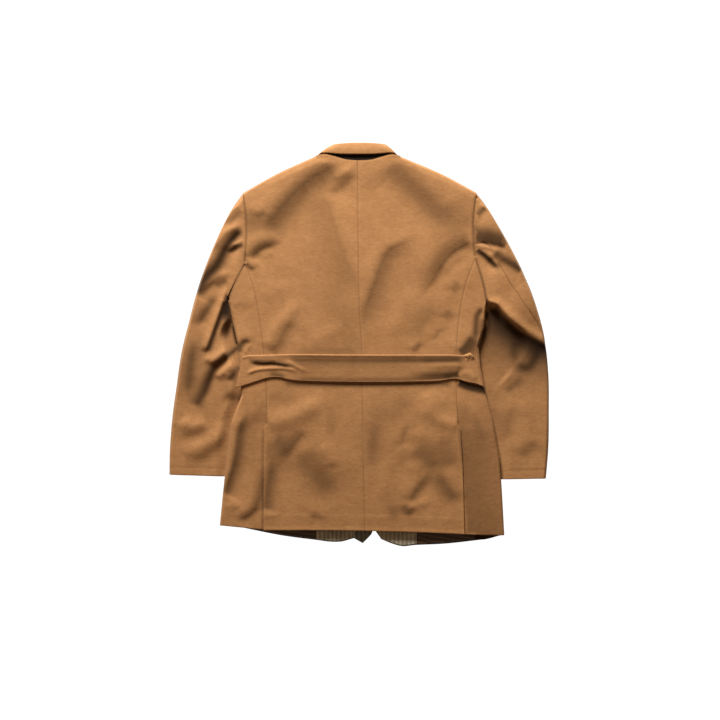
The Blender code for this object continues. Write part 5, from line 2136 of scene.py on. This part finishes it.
@dataclass
class BackBelt:
    """The belt across the back, which is tacked at the side-back seams and stitched along both edges."""

    form: BodyForm
    thickness: float = 2.6
    clearance: float = 0.3
    length: float = 512.0
    depth: float = 56.0
    ridge: float = 0.8
    ridge_place: float = 2.6
    ridge_width: float = 3.0
    groove: float = 1.0
    groove_place: float = 14.5
    groove_width: float = 5.5
    groove_ends: Pair = (-150.0, 215.0)
    groove_fades: Pair = (60.0, 20.0)
    calm: float = 4.0
    stitch_places: Pair = (0.09, 0.93)
    stitch_sink: float = 0.15
    stitch_margin: int = 4

    def points(self) -> Array:
        """Works out the belt's upper face.

        Returns:
            Points from left to right, each row from the top edge down.
        """
        table = spread(BELT, steps(self.length, FINE_GRID))
        top_x, top, bottom_x, bottom, lift_top, lift_bottom = (column[:, None] for column in table.T)
        share = steps(self.depth, HALF_GRID)[None, :]
        y = top + (bottom - top) * share
        across = top_x + (bottom_x - top_x) * share
        lift = np.maximum(lift_top + (lift_bottom - lift_top) * share, 0)
        height = self.form.height(across, y) + self.clearance + lift + self.thickness
        below = top - y
        first, last = self.groove_ends
        first_fade, last_fade = self.groove_fades
        ends = smooth(across, first - first_fade, first) * (1 - smooth(across, last - last_fade, last))
        height = height + self.ridge * np.exp(-((below - self.ridge_place) / self.ridge_width) ** 2)
        height = height - ends * self.groove * np.exp(-((below - self.groove_place) / self.groove_width) ** 2)
        calm = smooth(below, 0, self.calm) * smooth(y - bottom, 0, self.calm)
        height = height + calm * crease_heights(BELT_CREASES, across, y)
        return np.stack([across, y, height], axis=-1)

    def build(self, tailor: Tailor) -> None:
        """Sews the belt and its stitches.

        Args:
            tailor: What makes the pieces.
        """
        points = self.points()
        # Painted shade from the belt's creases.
        shade = crease_shades(BELT_CREASES, points[..., 0], points[..., 1])
        panel = Panel(points, lowered(points, self.thickness), *[Edge.FOLD] * 4, shade=shade)
        tailor.cloth("back_belt", panel)
        stitches = Stitches()
        last = points.shape[1] - 1
        rows = [lowered(points[:, round(place * last)], self.stitch_sink) for place in self.stitch_places]
        shape = Shape.joined([stitches.shape(row[self.stitch_margin:-self.stitch_margin]) for row in rows])
        tailor.piece("belt_stitches", shape, THREAD_FINISH)


@dataclass
class Buttons:
    """The hidden front buttons: turned horn with a raised rim, four holes and crossed thread."""

    places: tuple[Point, ...] = ((2, 205), (2, 75), (2, -55))
    radius: float = 11.0
    height: float = 3.6
    sides: int = 72
    dish: float = 0.9
    dish_radius: float = 7.6
    dish_round: float = 1.6
    rim_round: float = 1.1
    hole_zone: Pair = (0.7, 1.2)
    hole_place: float = 2.0
    hole_depth: float = 1.8
    hole_count: int = 4
    ring_step: float = 0.35
    thread_pitch: float = 4.0
    thread_length: float = 2.4
    thread_radius: float = 0.35
    thread_sink: float = 0.1

    def face(self, x: Array, y: Array) -> Array:
        """Hollows the lower face.

        Args:
            x: Places across from the middle.
            y: Places up from the middle.

        Returns:
            How far it is hollowed at each place.
        """
        out = np.hypot(x, y)
        hollow = self.dish * (1 - smooth(out, self.dish_radius - self.dish_round, self.dish_radius))
        hollow = hollow + self.rim_round * smooth(out, self.radius - self.rim_round, self.radius) ** 2
        for turn in range(self.hole_count):
            angle = math.tau * (turn + 0.5) / self.hole_count
            hole = np.hypot(x - self.hole_place * math.cos(angle), y - self.hole_place * math.sin(angle))
            hollow = hollow + self.hole_depth * (1 - smooth(hole, *self.hole_zone))
        return hollow

    def shape(self, place: Point) -> Shape:
        """Works out one button, whose face looks down.

        Args:
            place: Where its middle is.

        Returns:
            The turned shape.
        """
        radii = np.linspace(self.ring_step, self.radius, round(self.radius / self.ring_step))
        angles = np.linspace(0, math.tau, self.sides, endpoint=False)
        x = radii[:, None] * np.cos(angles)
        y = radii[:, None] * np.sin(angles)
        under = np.stack([x, y, self.face(x, y)], axis=-1)
        top = self.height - self.rim_round * smooth(radii, self.radius - self.rim_round, self.radius) ** 2
        over = np.stack([x, y, np.broadcast_to(top[:, None], x.shape)], axis=-1)[::-1]
        rings = np.concatenate([under, over])
        index = np.arange(rings.shape[0] * self.sides).reshape(-1, self.sides)
        quads = grid_quads(np.column_stack([index, index[:, :1]])).tolist()
        faces = quads + [index[0, ::-1].tolist(), index[-1].tolist()]
        points = rings.reshape(-1, 3) + np.array([*place, 0.0])
        return Shape(points, faces, np.zeros(len(points)))

    def thread(self, place: Point) -> Shape:
        """Works out the two crossed threads through the holes.

        Args:
            place: Where the button's middle is.

        Returns:
            One shape of both.
        """
        reach = self.hole_place / math.sqrt(2)
        stitch = Stitches(self.thread_pitch * reach, self.thread_length * reach, self.thread_radius)
        depth = self.dish - self.thread_sink
        ends = [((-reach, -reach), (reach, reach)), ((-reach, reach), (reach, -reach))]
        lines = [np.array([[place[0] + x, place[1] + y, depth] for x, y in pair]) for pair in ends]
        return Shape.joined([stitch.shape(line) for line in lines])

    def build(self, tailor: Tailor) -> None:
        """Sews the buttons on.

        Args:
            tailor: What makes the pieces.
        """
        for number, place in enumerate(self.places, start=1):
            button = tailor.piece(f"button_{number}_horn", self.shape(place), HORN_FINISH)
            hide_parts(f"button_{number}")
            tailor.piece(f"button_{number}_thread", self.thread(place), THREAD_FINISH)


# The studio

@dataclass
class Studio:
    """A plain white floor, a low soft light from beyond the collar, warm fill, and a camera above."""

    lens: float = 100.0
    sensor: float = 36.0
    camera_height: float = 4.12
    view_centre: Point = (0.0023, -0.0311)
    floor_size: float = 12.0
    floor_glow: float = 1.05
    floor_colour: Paint = (0.02, 0.02, 0.02, 1.0)
    floor_light: Paint = (1.0, 1.0, 1.0, 1.0)
    floor_roughness: float = 0.9
    floor_dust: Noise = Noise(240.0, 1.0)
    floor_relief: Pair = (0.2, 0.1)
    key_place: Place = (-0.55, 2.9, 1.25)
    key_aim: Place = (0.0, 0.0, 0.0)
    key_size: float = 1.0
    key_power: float = 265.0
    fill_strength: float = 0.2
    fill_colour: Colour = (1.0, 0.74, 0.52)

    def camera(self) -> None:
        """Makes the camera."""
        data = bpy.data.cameras.new("camera")
        data.lens = self.lens
        data.sensor_width = self.sensor
        made = placed("camera", data)
        made.location = (*self.view_centre, self.camera_height)
        bpy.context.scene.camera = made

    def key(self) -> None:
        """Makes the key light."""
        data = bpy.data.lights.new("key", "AREA")
        data.shape = "DISK"
        data.size = self.key_size
        data.energy = self.key_power
        made = placed("key", data)
        made.location = self.key_place
        aim = Vector(self.key_aim) - Vector(self.key_place)
        made.rotation_euler = aim.to_track_quat("-Z", "Y").to_euler()

    def fill(self) -> None:
        """Makes the even light from all sides."""
        world = bpy.data.worlds.new("studio")
        world.use_nodes = True
        background = world.node_tree.nodes["Background"]
        background.inputs["Color"].default_value = (*self.fill_colour, 1.0)
        background.inputs["Strength"].default_value = self.fill_strength
        bpy.context.scene.world = world

    def floor(self) -> None:
        """Makes the floor."""
        bench = Bench("floor_white")
        relief = bench.bump(bench.noise(self.floor_dust), *self.floor_relief)
        bench.finish(self.floor_colour, self.floor_roughness, relief,
                     Emission_Color=self.floor_light, Emission_Strength=self.floor_glow)
        half = 0.5 * self.floor_size
        mesh = bpy.data.meshes.new("floor")
        corners = [(-half, -half, 0.0), (half, -half, 0.0), (half, half, 0.0), (-half, half, 0.0)]
        mesh.from_pydata(corners, [], [(0, 1, 2, 3)])
        mesh.materials.append(bench.material)
        placed("floor", mesh)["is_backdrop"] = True

    def build(self) -> None:
        """Sets up the whole studio."""
        bpy.context.scene.view_settings.view_transform = "Standard"
        self.camera()
        self.key()
        self.fill()
        self.floor()


def plain(box: Any) -> list[list[float]]:
    """Returns a box's corners as plain lists of numbers."""
    return [[float(number) for number in corner] for corner in box]


def main() -> None:
    """Builds the studio and every piece of the jacket."""
    logging.basicConfig(level=logging.INFO, format="%(name)s: %(message)s")
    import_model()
    solids = plain(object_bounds())
    tailor = Tailor()
    form = BodyForm()
    left = BodySide(LEFT_OUTLINE, form)
    right = BodySide(RIGHT_OUTLINE, form)
    Studio().build()
    Back(left, right).build(tailor)
    SidePanels(left, right).build(tailor)
    Fronts(left, right).build(tailor)
    Sleeve(left, "left", SLEEVE_LEFT, LEFT_SLEEVE_CREASES, LEFT_OUTER_SEAM, "top", "under").build(tailor)
    Sleeve(right, "right", SLEEVE_RIGHT, RIGHT_SLEEVE_CREASES, RIGHT_OUTER_SEAM, "under", "top").build(tailor)
    Collar(form).build(tailor)
    BackBelt(form).build(tailor)
    Buttons().build(tailor)
    {"cad": solids, "visual": plain(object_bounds())}


if __name__ == "__main__":
    main()
